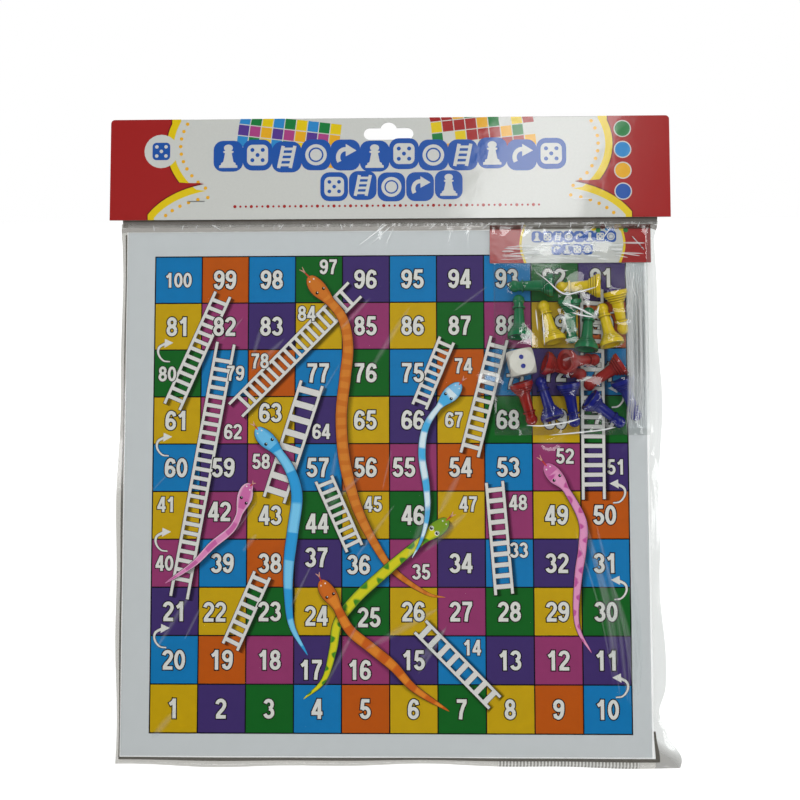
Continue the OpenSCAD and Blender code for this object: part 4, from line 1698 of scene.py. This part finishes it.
@dataclass
class Pouch:
    """The small bag of loose pieces with its own folded card."""

    left: float = 66.75
    right: float = 164.25
    low: float = -0.65
    card_low: float = 108.85
    card_high: float = 133.85
    card_x: float = 115.5
    card_w: float = 102.0
    film_z: float = 3.05
    gap: float = 0.5
    die_reach: float = 11.5
    pawn_reach: float = 0.6
    rest: float = 0.12
    card_rest: float = 0.13
    tuck: float = 4.0
    sag: float = 0.004
    rounds: int = 600
    ray_z: float = 60.0
    front: Film | None = None

    def under(self, film: Film) -> np.ndarray:
        """Finds how high the loose pieces stand under each point of the film."""
        high = np.full(film.x.shape, self.film_z + self.rest)
        step = film.x[0, 1] - film.x[0, 0]
        for name in PAWNS:
            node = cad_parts[name]
            tree = BVHTree.FromPolygons(
                [v.co for v in node.data.vertices], [tuple(p.vertices) for p in node.data.polygons]
            )
            low, top = (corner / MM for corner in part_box(name))
            near = film.within(low.x - step, top.x + step, low.y - step, top.y + step)
            for j, i in np.argwhere(near):
                for ox, oy in ((0, 0), *CROSS):
                    x = film.x[j, i] + ox * self.pawn_reach
                    y = film.y[j, i] + oy * self.pawn_reach
                    start = Vector((x, y, self.ray_z)) * MM
                    hit = tree.ray_cast(start, Vector((0, 0, -1)))[0]
                    if hit is not None:
                        high[j, i] = max(high[j, i], hit.z / MM + self.gap)
        low, top = (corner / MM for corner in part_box("die"))
        die = np.hypot(film.x - (low.x + top.x) / 2, film.y - (low.y + top.y) / 2) < self.die_reach
        high[die] = np.maximum(high[die], top.z + self.gap)
        return high

    def front_film(self) -> Film:
        """Drapes the pouch's front film over the loose pieces and creases it."""
        film = Film.over(self.left, self.right, self.low, self.card_low + self.tuck, 1.05)
        under = self.under(film)
        rim = np.full(film.x.shape, np.nan)
        rim[0] = rim[:, 0] = rim[:, -1] = self.film_z + self.rest
        rim[film.y > self.card_low - 1.2] = self.film_z + self.card_rest
        film.drape(under, rim, self.sag, self.rounds)
        top = self.card_low - 2
        folds = [
            ((76, top), (90, 84), 0.5, 1.4), ((92, 102), (108, 87), 0.5, 1.2),
            ((146, top), (150, 82), 0.5, 1.4), ((118, top), (120, 92), 0.4, 1.3),
            ((72, 30), (78, 12), 0.4, 1.4), ((160, 60), (158, 24), 0.5, 1.5),
            ((70, 5.5), (98, 3.5), 0.5, 1.1), ((98, 3.5), (128, 7), 0.6, 1.1), ((128, 7), (160, 4), 0.5, 1.1),
        ]
        rise = sum(film.crease(a, b, h, w) for a, b, h, w in folds)
        inside = np.minimum.reduce([film.x - self.left, self.right - film.x, film.y - self.low])
        inner = np.clip(inside / 5, 0, 1)
        inner *= np.clip((self.card_low - 1.2 - film.y) / 4, 0, 1)
        film.z = film.z + rise * inner
        self.front = film
        return film

    def card(self) -> None:
        """Dresses the pouch's card and prints a plain row of tokens on it."""
        CARD_STOCK.dress(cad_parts["pouch_card"])
        StapleWire("galvanised_staple_wire").dress(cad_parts["pouch_staple"])
        art = Artwork("printed_pouch_card", "pouch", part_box("pouch_card")[1].z / MM)
        x0, x1 = self.card_x - self.card_w / 2, self.card_x + self.card_w / 2
        y0, y1 = self.card_low, self.card_high - 0.4
        for side, edge, inner in ((-1, x0, x0 + 23), (1, x1, x1 - 20)):
            rise = np.linspace(0, 1, 11).tolist()
            lean = [(inner + side * 3.0 * math.sin(math.pi * t), y0 + (y1 - y0) * t) for t in rise]
            art.polygon([(edge, y0), *lean, (edge, y1)], CARD_RED, 0)
            art.ribbon([(x + side * 0.4, y) for x, y in lean], 1.5, CARD_YELLOW, 1)
        for k, kind in enumerate(TOKEN_ROW[:8]):
            print_token(art, kind, (x0 + 30 + k * 6.7, y0 + 16.8), 5.2, 2 + 0.4 * (k % 2))
        for k, kind in enumerate(TOKEN_ROW[4:8]):
            print_token(art, kind, (x0 + 42.5 + k * 6.5, y0 + 8.6), 5.0, 5 + 0.4 * (k % 2))
        bits = (CARD_YELLOW, CARD_GREEN, CARD_RED, CARD_SKY, CARD_BLUE, CARD_AMBER)
        for k in range(9):
            spot = (x1 - 36 + k * 2.9, y1 - 2.6 - 1.3 * math.sin(k * 2.1))
            art.disc(spot, 1.6, bits[k % len(bits)], 6 + k % 3)
        art.build("printed_card")

    def build(self) -> None:
        """Makes the pouch's films and dresses its card and staple."""
        film = self.front_film()
        weld = (film.y < self.low + 5) | (film.x < self.left + 1.6) | (film.x > self.right - 1.6)
        front = film.build("pouch_front_sheet", "pouch", POUCH_FILM, [(POUCH_SEAM, weld)])
        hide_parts("pouch_front_film")
        wide, long = self.right - self.left, self.card_low + self.tuck - self.low
        film.flat_size(wide, long)
        back = Film.over(self.left, self.right, self.low, self.card_low + self.tuck, 2.0)
        back.z = self.film_z + 0.05 + 0 * back.x
        sheet = back.build("pouch_back_sheet", "pouch", POUCH_FILM)
        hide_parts("pouch_back_film")
        self.card()


POUCH_CREASES = (
    ((92, 102), (108, 87), 0.9, 1.1), ((108, 87), (120, 88), 0.8, 1.0), ((120, 88), (130, 91), 0.6, 1.0),
    ((110, 79), (126, 69), 1.3, 1.3), ((105, 76), (108, 71), 0.9, 1.2), ((108, 71), (129, 72), 1.2, 1.2),
    ((126, 69), (134, 76), 0.8, 1.1), ((108, 71), (113, 60), 0.9, 1.1), ((92, 77), (93, 63), 0.8, 1.0),
    ((96, 75), (97, 54), 0.7, 1.0), ((131, 88), (140, 84), 0.8, 1.1), ((149, 91), (152, 82), 0.9, 1.3),
    ((70, 92), (62, 60), 0.5, 1.6), ((156, 70), (158, 30), 0.6, 1.5),
)
# Paths of painted highlight along the sharp folds over the pouch and the neck, each with its greatest width.
SHARP_FOLDS = (
    (((92, 102), (108, 87), (119.5, 88), (129.5, 90.5)), 1.5),
    (((109, 81), (120, 76.5), (129, 71.5)), 1.8), (((114, 74.5), (121, 72.5), (129, 71.5)), 1.5),
    (((129, 71.5), (131, 79)), 1.3), (((92, 77), (93, 63.5)), 1.1), (((96, 75), (97, 54)), 1.1),
    (((155, 102), (153, 92), (156, 84)), 1.3), (((103, 101), (113, 102)), 1.2),
    (((85.5, 5), (96, 4.5), (111, 6.7), (118.5, 9)), 1.5), (((99, -1.5), (129, 1.5), (141, 3.7)), 1.4),
    (((-0.7, 135), (-10, 128), (-19, 121)), 1.6), (((1.5, 133.5), (-12, 121)), 1.3),
    (((3, 132), (-2, 121)), 1.2), (((38, 122), (40, 131)), 1.1), (((50, 123), (52, 131)), 1.1),
    (((136, 124), (141, 131)), 1.2),
)


@dataclass
class Bag:
    """The large clear bag: back film, draped front film, welded rim and gathered neck."""

    left: float = -172.5
    right: float = 172.5
    low: float = -204.65
    rim_y: float = 136.35
    header_y: float = 138.65
    board_left: float = -167.5
    board_right: float = 162.5
    board_low: float = -199.65
    board_high: float = 130.35
    board_play: float = 3.0
    pouch_travel: float = 12.0
    gap: float = 0.7
    step: float = 1.5
    ear_high: float = 17.0
    ear_lean: float = 1.2
    ear_fade: float = 11.0
    back_z: float = 0.05
    weld_z: float = 0.14
    mouth_z: float = 0.2
    board_z: float = 2.1
    board_gap: float = 0.5
    rest: float = 0.12
    pouch_reach: float = 1.2
    sag: float = 0.008
    rounds: int = 1200
    staple: float = 0.45
    leaf: float = 0.4
    between: float = 0.15
    neck_z: float = 0.35

    def plan(self, step: float) -> Film:
        """Lays out the bag's flat outline as a grid."""
        return Film.over(self.left, self.right, self.low, self.rim_y, step)

    def ear(self, film: Film) -> np.ndarray:
        """Gives how far each point lies inside the slack ear at the lower right, in millimetres."""
        return self.board_low + self.ear_high - self.ear_lean * (film.x - self.board_right) - film.y

    def neck_shade(self, film: Film) -> np.ndarray:
        """Gives how much painted shade darkens the neck film: most under the header's edge and towards the
        pouch.
        """
        rise = np.clip((film.y - self.board_high) / (self.header_y - 1 - self.board_high), 0, 1)
        side = np.clip((film.x - 30) / 50, 0, 1)
        return 0.45 + 0.2 * side + (0.55 - 0.2 * side) * rise**3

    def rim_shift(self, film: Film) -> tuple[np.ndarray, np.ndarray]:
        """Waves the bag's outline in and out, with a loose ear at the lower right.

        Args:
            film: The film whose points move.

        Returns:
            The moves along X and Y.
        """
        right = np.clip((film.x - self.board_right) / (self.right - self.board_right), 0, 1)
        left = np.clip((self.board_left - film.x) / (self.board_left - self.left), 0, 1)
        foot = np.clip((self.board_low - film.y) / (self.board_low - self.low), 0, 1)
        head = np.clip((self.rim_y - film.y) / 12, 0, 1)
        wave = -1.6 + 1.3 * np.sin(film.y / 31 + 0.8) + 0.7 * np.sin(film.y / 12.5)
        pinch = -4.0 * np.exp(-(((film.y + 172) / 9) ** 2))
        ear = 9.0 * np.exp(-(((film.y + 201) / 10) ** 2))
        dx = right * (wave * head + pinch + ear)
        dx += left * head * (0.6 + 0.9 * np.sin(film.y / 40) + 0.5 * np.sin(film.y / 15 + 1))
        dy = foot * (0.9 * np.sin(film.x / 37 + 1) + 0.5 * np.sin(film.x / 14) - 1.0)
        return dx, dy

    def front_film(self, pouch: Film) -> Film:
        """Drapes the bag's front film over the board and over the pouch at all its places.

        Args:
            pouch: The pouch's front film.

        Returns:
            The bag's front film.
        """
        film = self.plan(self.step)
        x, y = film.x, film.y
        under = np.full(x.shape, self.rest)
        play = self.board_play
        on_board = film.within(
            self.board_left - 0.6,
            self.board_right + 1.1,
            self.board_low - play - 0.6,
            self.board_high + play + 0.4,
        )
        under[on_board] = self.board_z + self.board_gap
        card_low, card_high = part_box("pouch_card")
        on_card = film.within(
            card_low.x / MM - 1,
            card_high.x / MM + 1,
            card_low.y / MM - self.pouch_travel - 1,
            card_high.y / MM + 0.6,
        )
        under[on_card] = card_high.z / MM + self.gap + 0.2
        wire_low, wire_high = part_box("pouch_staple")
        on_wire = film.within(
            wire_low.x / MM - 2,
            wire_high.x / MM + 2,
            wire_low.y / MM - self.pouch_travel - 2,
            wire_high.y / MM + 2,
        )
        under[on_wire] = wire_high.z / MM + self.gap
        for k in range(9):
            for ox, oy in ((0, 0), *CROSS):
                shifted = y + oy * self.pouch_reach + self.pouch_travel * k / 8
                below = pouch.height_at(x + ox * self.pouch_reach, shifted)
                under = np.maximum(under, below + self.gap)
        rim = np.full(x.shape, np.nan)
        rim[0] = rim[:, 0] = rim[:, -1] = self.weld_z
        rim[-1] = self.mouth_z
        film.drape(under, rim, self.sag, self.rounds)
        film.z = np.maximum(film.z + self.wrinkles(film), under)
        film.z[0] = film.z[:, 0] = film.z[:, -1] = self.weld_z
        film.z[-1] = self.mouth_z
        # The cover holds the neck's painted shade above the middle and the ear's fade below it.
        film.cover = np.where(y > 0, self.neck_shade(film), np.clip(self.ear(film) / self.ear_fade, 0, 1))
        dx, dy = self.rim_shift(film)
        film.x = x + dx
        film.y = y + dy
        return film

    def wrinkles(self, film: Film) -> np.ndarray:
        """Gives the rise of the front film's folds and streaks."""
        rng = np.random.default_rng(11)
        rise = np.zeros_like(film.z)
        for _ in range(38):
            x = 112 + 50 * rng.random()
            y = -192 + 150 * rng.random()
            run = 30 + 70 * rng.random()
            lean = -0.25 * rng.random()
            height = 0.08 + 0.24 * rng.random()
            width = 0.8 + 1.1 * rng.random()
            rise += film.crease((x, y), (x + lean * run, y + run), height, width)
        for _ in range(60):
            x = -165 + 320 * rng.random()
            y = -195 + 320 * rng.random()
            run = 25 + 70 * rng.random()
            turn = math.radians(62 + 20 * rng.standard_normal())
            end = (x + run * math.cos(turn), y + run * math.sin(turn))
            rise += film.crease((x, y), end, 0.03 + 0.09 * rng.random(), 1.2 + 1.8 * rng.random())
        for k in range(26):
            turn = math.radians(85 + 260 * k / 26 + 8 * rng.standard_normal())
            start = (112 + 56 * math.cos(turn), 46 + 64 * math.sin(turn))
            run = 18 + 45 * rng.random()
            end = (start[0] + run * math.cos(turn), start[1] + run * math.sin(turn))
            rise += film.crease(start, end, 0.04 + 0.14 * rng.random(), 1.2 + 1.6 * rng.random())
        for _ in range(18):
            x = -160 + 320 * rng.random()
            lean = 6 * rng.standard_normal()
            rise += film.crease((x, 127), (x + lean, 136), 0.3 + 0.6 * rng.random(), 1.0 + rng.random())
        for lean in (-26, -17, -10, -3, 5):
            rise += film.crease((-8 + 0.2 * lean, 136), (-12 + lean, 119), 0.6, 0.9)
        for start, end, height, width in POUCH_CREASES:
            rise += film.crease(start, end, height, width)
        for shift, height in ((165.2, 0.7), (167.8, 0.9), (170.0, 0.6)):
            line = shift + 0.8 * np.sin(film.y / 26 + shift)
            rise += height * np.exp(-np.abs(film.x - line) / 0.9)
        return rise

    def neck(self) -> None:
        """Makes the gathered film between the bag's rim and the header card."""
        film = Film.over(self.left + 1, self.right - 1, self.rim_y - 2.5, self.header_y + 6, 0.9)
        mid = self.staple + self.leaf + self.between
        t = np.clip((film.y - self.rim_y) / (self.header_y - self.rim_y), 0, 1)
        bare = np.clip((self.header_y - 0.2 - film.y) / 1.5, 0, 1)
        pleat = 0.22 * np.sin(film.x / 1.9 + 2.2 * np.sin(film.x / 17)) + 0.12 * np.sin(film.x / 0.83)
        film.z = self.neck_z + (mid - self.neck_z) * t + pleat * bare * 0.9
        # Painted shade on the neck film, darkest under the header's edge.
        film.cover = self.neck_shade(film)
        obj = film.build("bag_neck_sheet", None, NECK_SHADE_FILM)
        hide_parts("bag_neck_film")
        wide, long = film.x[0, -1] - film.x[0, 0], film.y[-1, 0] - film.y[0, 0]
        film.flat_size(wide, long)
        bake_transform(obj)
        LOG.info("%s bends from bag to header", obj.name)

    def mouth(self) -> None:
        """Makes the film that the header card hides."""
        low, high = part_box("bag_mouth_film")
        film = Film.over(low.x / MM, high.x / MM, low.y / MM, high.y / MM, 4.0)
        film.z = (low.z + high.z) / 2 / MM + 0 * film.x
        obj = film.build("bag_mouth_sheet", "header", FILM)
        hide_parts("bag_mouth_film")

    def folds(self, film: Film) -> list[Fold]:
        """Gives lines of painted highlight along the sharp folds over the pouch and the neck, and faint sheen
        streaks over the board.

        Args:
            film: The front film.

        Returns:
            The folds.
        """
        grid = self.plan(self.step)
        grid.z = film.z
        made = [grid.fold(path, width, FOLD_HIGHLIGHT_FILM) for path, width in SHARP_FOLDS]
        rng = np.random.default_rng(5)
        for k in range(10):
            start = (119 + 3.4 * k + 4 * rng.standard_normal(), -40 - 6 * k + 14 * rng.standard_normal())
            end = (140 + 2 * k + 2 * rng.standard_normal(), -160 + 10 * rng.standard_normal())
            middle = ((start[0] + end[0]) / 2 + 3, (start[1] + end[1]) / 2)
            made.append(grid.fold((start, middle, end), 1.5 + 4 * rng.random(), SHEEN_STREAK_FILM))
        for k in range(8):
            x = 149 + 1.7 * k
            path = ((x, 106), (x + rng.standard_normal(), 55), (x - 1, 2))
            made.append(grid.fold(path, 1.5 + 3 * rng.random(), PLEAT_HIGHLIGHT_FILM))
        for _ in range(26):
            x, y = -160 + 215 * rng.random(), -190 + 290 * rng.random()
            run, turn = 14 + 40 * rng.random(), math.radians(58 + 12 * rng.standard_normal())
            end = (x + run * math.cos(turn), min(126.0, y + run * math.sin(turn)))
            made.append(grid.fold(((x, y), end), 1.5 + 4.5 * rng.random(), SHEEN_STREAK_FILM))
        for _ in range(34):
            x, y = 66 + 82 * rng.random(), 110 + 11.5 * rng.random()
            run, drop = 5 + 15 * rng.random(), rng.standard_normal()
            path = ((x, y), (x + run, y - 0.04 * run + 0.8 * drop))
            made.append(grid.fold(path, 0.8 + 1.7 * rng.random(), GLINT_FILM))
        for k in range(22):
            x, lean = -150 + 14.5 * k + 5 * rng.standard_normal(), 3 * rng.standard_normal()
            made.append(grid.fold(((x, 131), (x + lean, 135.5)), 0.5 + 0.9 * rng.random(), GLINT_FILM))
        return made

    def zones(self) -> list[tuple[Finish, np.ndarray]]:
        """Gives the front film's looks besides plain film, with the points that each one covers."""
        grid = self.plan(self.step)
        x, y = grid.x, grid.y
        right = x > self.board_right + 0.5
        foot = y < self.board_low - 0.4
        loose = (x < self.board_left - 0.4) | foot
        slack = right & (self.ear(grid) > 0)
        seal = (y < self.board_low - 1.9) & (x > 66) & (x < 156)
        # The dark edge film along the board's sides and foot is painted shadow of the board's edge.
        beside = (x > self.board_right + 0.6) & (x < self.board_right + 2.8)
        beside &= y < self.board_low + self.ear_high
        beside |= (x > self.board_left - 2.2) & (x < self.board_left - 0.3)
        beside &= (y > self.board_low - 2.3) & (y < self.board_high)
        below = foot & (y > self.board_low - 2.3) & (x > self.board_left - 2.2) & (x < self.board_right + 2.8)
        return [
            (SEAM_FILM, right), (LOOSE_SHADED_FILM, loose), (EAR_FILM, slack), (SEAL_FILM, seal),
            (EDGE_SHADOW_FILM, beside | below), (NECK_SHADE_FILM, (y > self.board_high - 1) & (y < self.rim_y - 2)),
        ]

    def build(self, pouch: Pouch) -> None:
        """Makes all films of the bag.

        Args:
            pouch: The pouch inside, already built.
        """
        film = self.front_film(pouch.front)
        front = film.build("bag_front_sheet", "bag", FILM, self.zones(), self.folds(film))
        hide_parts("bag_front_film")
        wide, long = self.right - self.left, self.rim_y - self.low
        film.flat_size(wide, long)
        back = self.plan(3.0)
        dx, dy = self.rim_shift(back)
        back.x = back.x + dx
        back.y = back.y + dy
        back.z = self.back_z + 0 * back.x
        sheet = back.build("bag_back_sheet", "bag", FILM)
        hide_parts("bag_back_film")
        self.neck()
        self.mouth()


@dataclass
class Studio:
    """A plain pale table top, soft lamps and the camera.

    The places of the camera and the lamps are in millimetres, and the table top is in metres.
    """

    lens: float = 54.0
    eye: tuple[float, float, float] = (25.5, -34.7, 759.6)
    turn: tuple[float, float, float] = (4.271, 1.394, -0.08)
    floor_reach: float = 0.9
    floor_end: float = 0.137
    floor_z: float = -0.0003

    def lamp(
        self, name: str, at: tuple[float, float, float], size: Point, glow: float, seen: bool = True
    ) -> None:
        """Adds one flat lamp that faces the middle of the pack.

        Args:
            name: Its name.
            at: Its place in millimetres.
            size: Its width and height in millimetres.
            glow: How bright its face looks, where 1 is white.
            seen: Whether glossy surfaces mirror it.
        """
        light = bpy.data.lights.new(name, "AREA")
        light.shape = "RECTANGLE"
        light.size, light.size_y = size[0] * MM, size[1] * MM
        light.energy = glow * math.pi * light.size * light.size_y
        obj = bpy.data.objects.new(name, light)
        obj.location = Vector(at) * MM
        obj.rotation_euler = (-Vector(at)).to_track_quat("-Z", "Y").to_euler()
        obj.visible_glossy = seen
        bpy.context.scene.collection.objects.link(obj)

    def floor(self) -> None:
        """Adds a white table top that ends at the neck, so that the header can hang down."""
        mesh = bpy.data.meshes.new("floor")
        r, end, z = self.floor_reach, self.floor_end, self.floor_z
        mesh.from_pydata([(-r, -r, z), (r, -r, z), (r, end, z), (-r, end, z)], [], [(0, 1, 2, 3)])
        mesh.materials.append(TableTop("studio_floor_white").material())
        obj = bpy.data.objects.new("floor", mesh)
        bpy.context.scene.collection.objects.link(obj)

    def world(self) -> None:
        """Adds a white backdrop under a dark ceiling that is paler towards the head of the pack."""
        world = bpy.data.worlds.new("studio")
        world.use_nodes = True
        tree = world.node_tree
        tree.nodes.clear()
        looked_at = add(tree, "ShaderNodeLightPath").outputs["Is Camera Ray"]
        way = add(tree, "ShaderNodeTexCoord").outputs["Generated"]
        aim = add(tree, "ShaderNodeSeparateXYZ", {"Vector": way}).outputs
        ceiling = spread(tree, aim["Y"], -0.35, 0.35, 0.015, 0.15)
        fade = spread(tree, aim["Z"], 0.05, 0.6, 0.9, ceiling)
        dim = add(tree, "ShaderNodeBackground", {"Strength": fade}).outputs["Background"]
        bright = {"Color": (1.0, 1.0, 1.0, 1.0), "Strength": 1.0}
        white = add(tree, "ShaderNodeBackground", bright).outputs["Background"]
        add(tree, "ShaderNodeOutputWorld", {"Surface": layered(tree, looked_at, dim, white)})
        bpy.context.scene.world = world

    def build(self) -> None:
        """Sets up floor, backdrop, lamps and camera."""
        self.floor()
        self.world()
        self.lamp("lamp_window", (185, 420, 820), (150, 330), 6.5)
        self.lamp("lamp_left", (-1150, 60, 560), (150, 900), 5.0)
        self.lamp("lamp_right", (1050, -60, 640), (150, 900), 5.0)
        self.lamp("lamp_foot", (40, -1150, 560), (900, 150), 4.5)
        self.lamp("lamp_head", (225, 790, 670), (420, 200), 4.5)
        self.lamp("lamp_fill", (0, 0, 1300), (900, 900), 3.4, seen=False)
        camera = bpy.data.cameras.new("camera")
        camera.lens = self.lens
        camera.sensor_width = 36.0
        camera.clip_start = 0.01
        obj = bpy.data.objects.new("camera", camera)
        obj.location = Vector(self.eye) * MM
        obj.rotation_euler = [math.radians(a) for a in self.turn]
        bpy.context.scene.collection.objects.link(obj)
        bpy.context.scene.camera = obj
        bpy.context.scene.view_settings.view_transform = "Standard"


def main() -> None:
    """Builds every sub-assembly in order."""
    logging.basicConfig(level=logging.INFO, format="%(name)s: %(message)s")
    Studio().build()
    Board().build()
    HeaderCard().build()
    LoosePieces().build()
    pouch = Pouch()
    pouch.build()
    Bag().build(pouch)


if __name__ == "__main__":
    main()
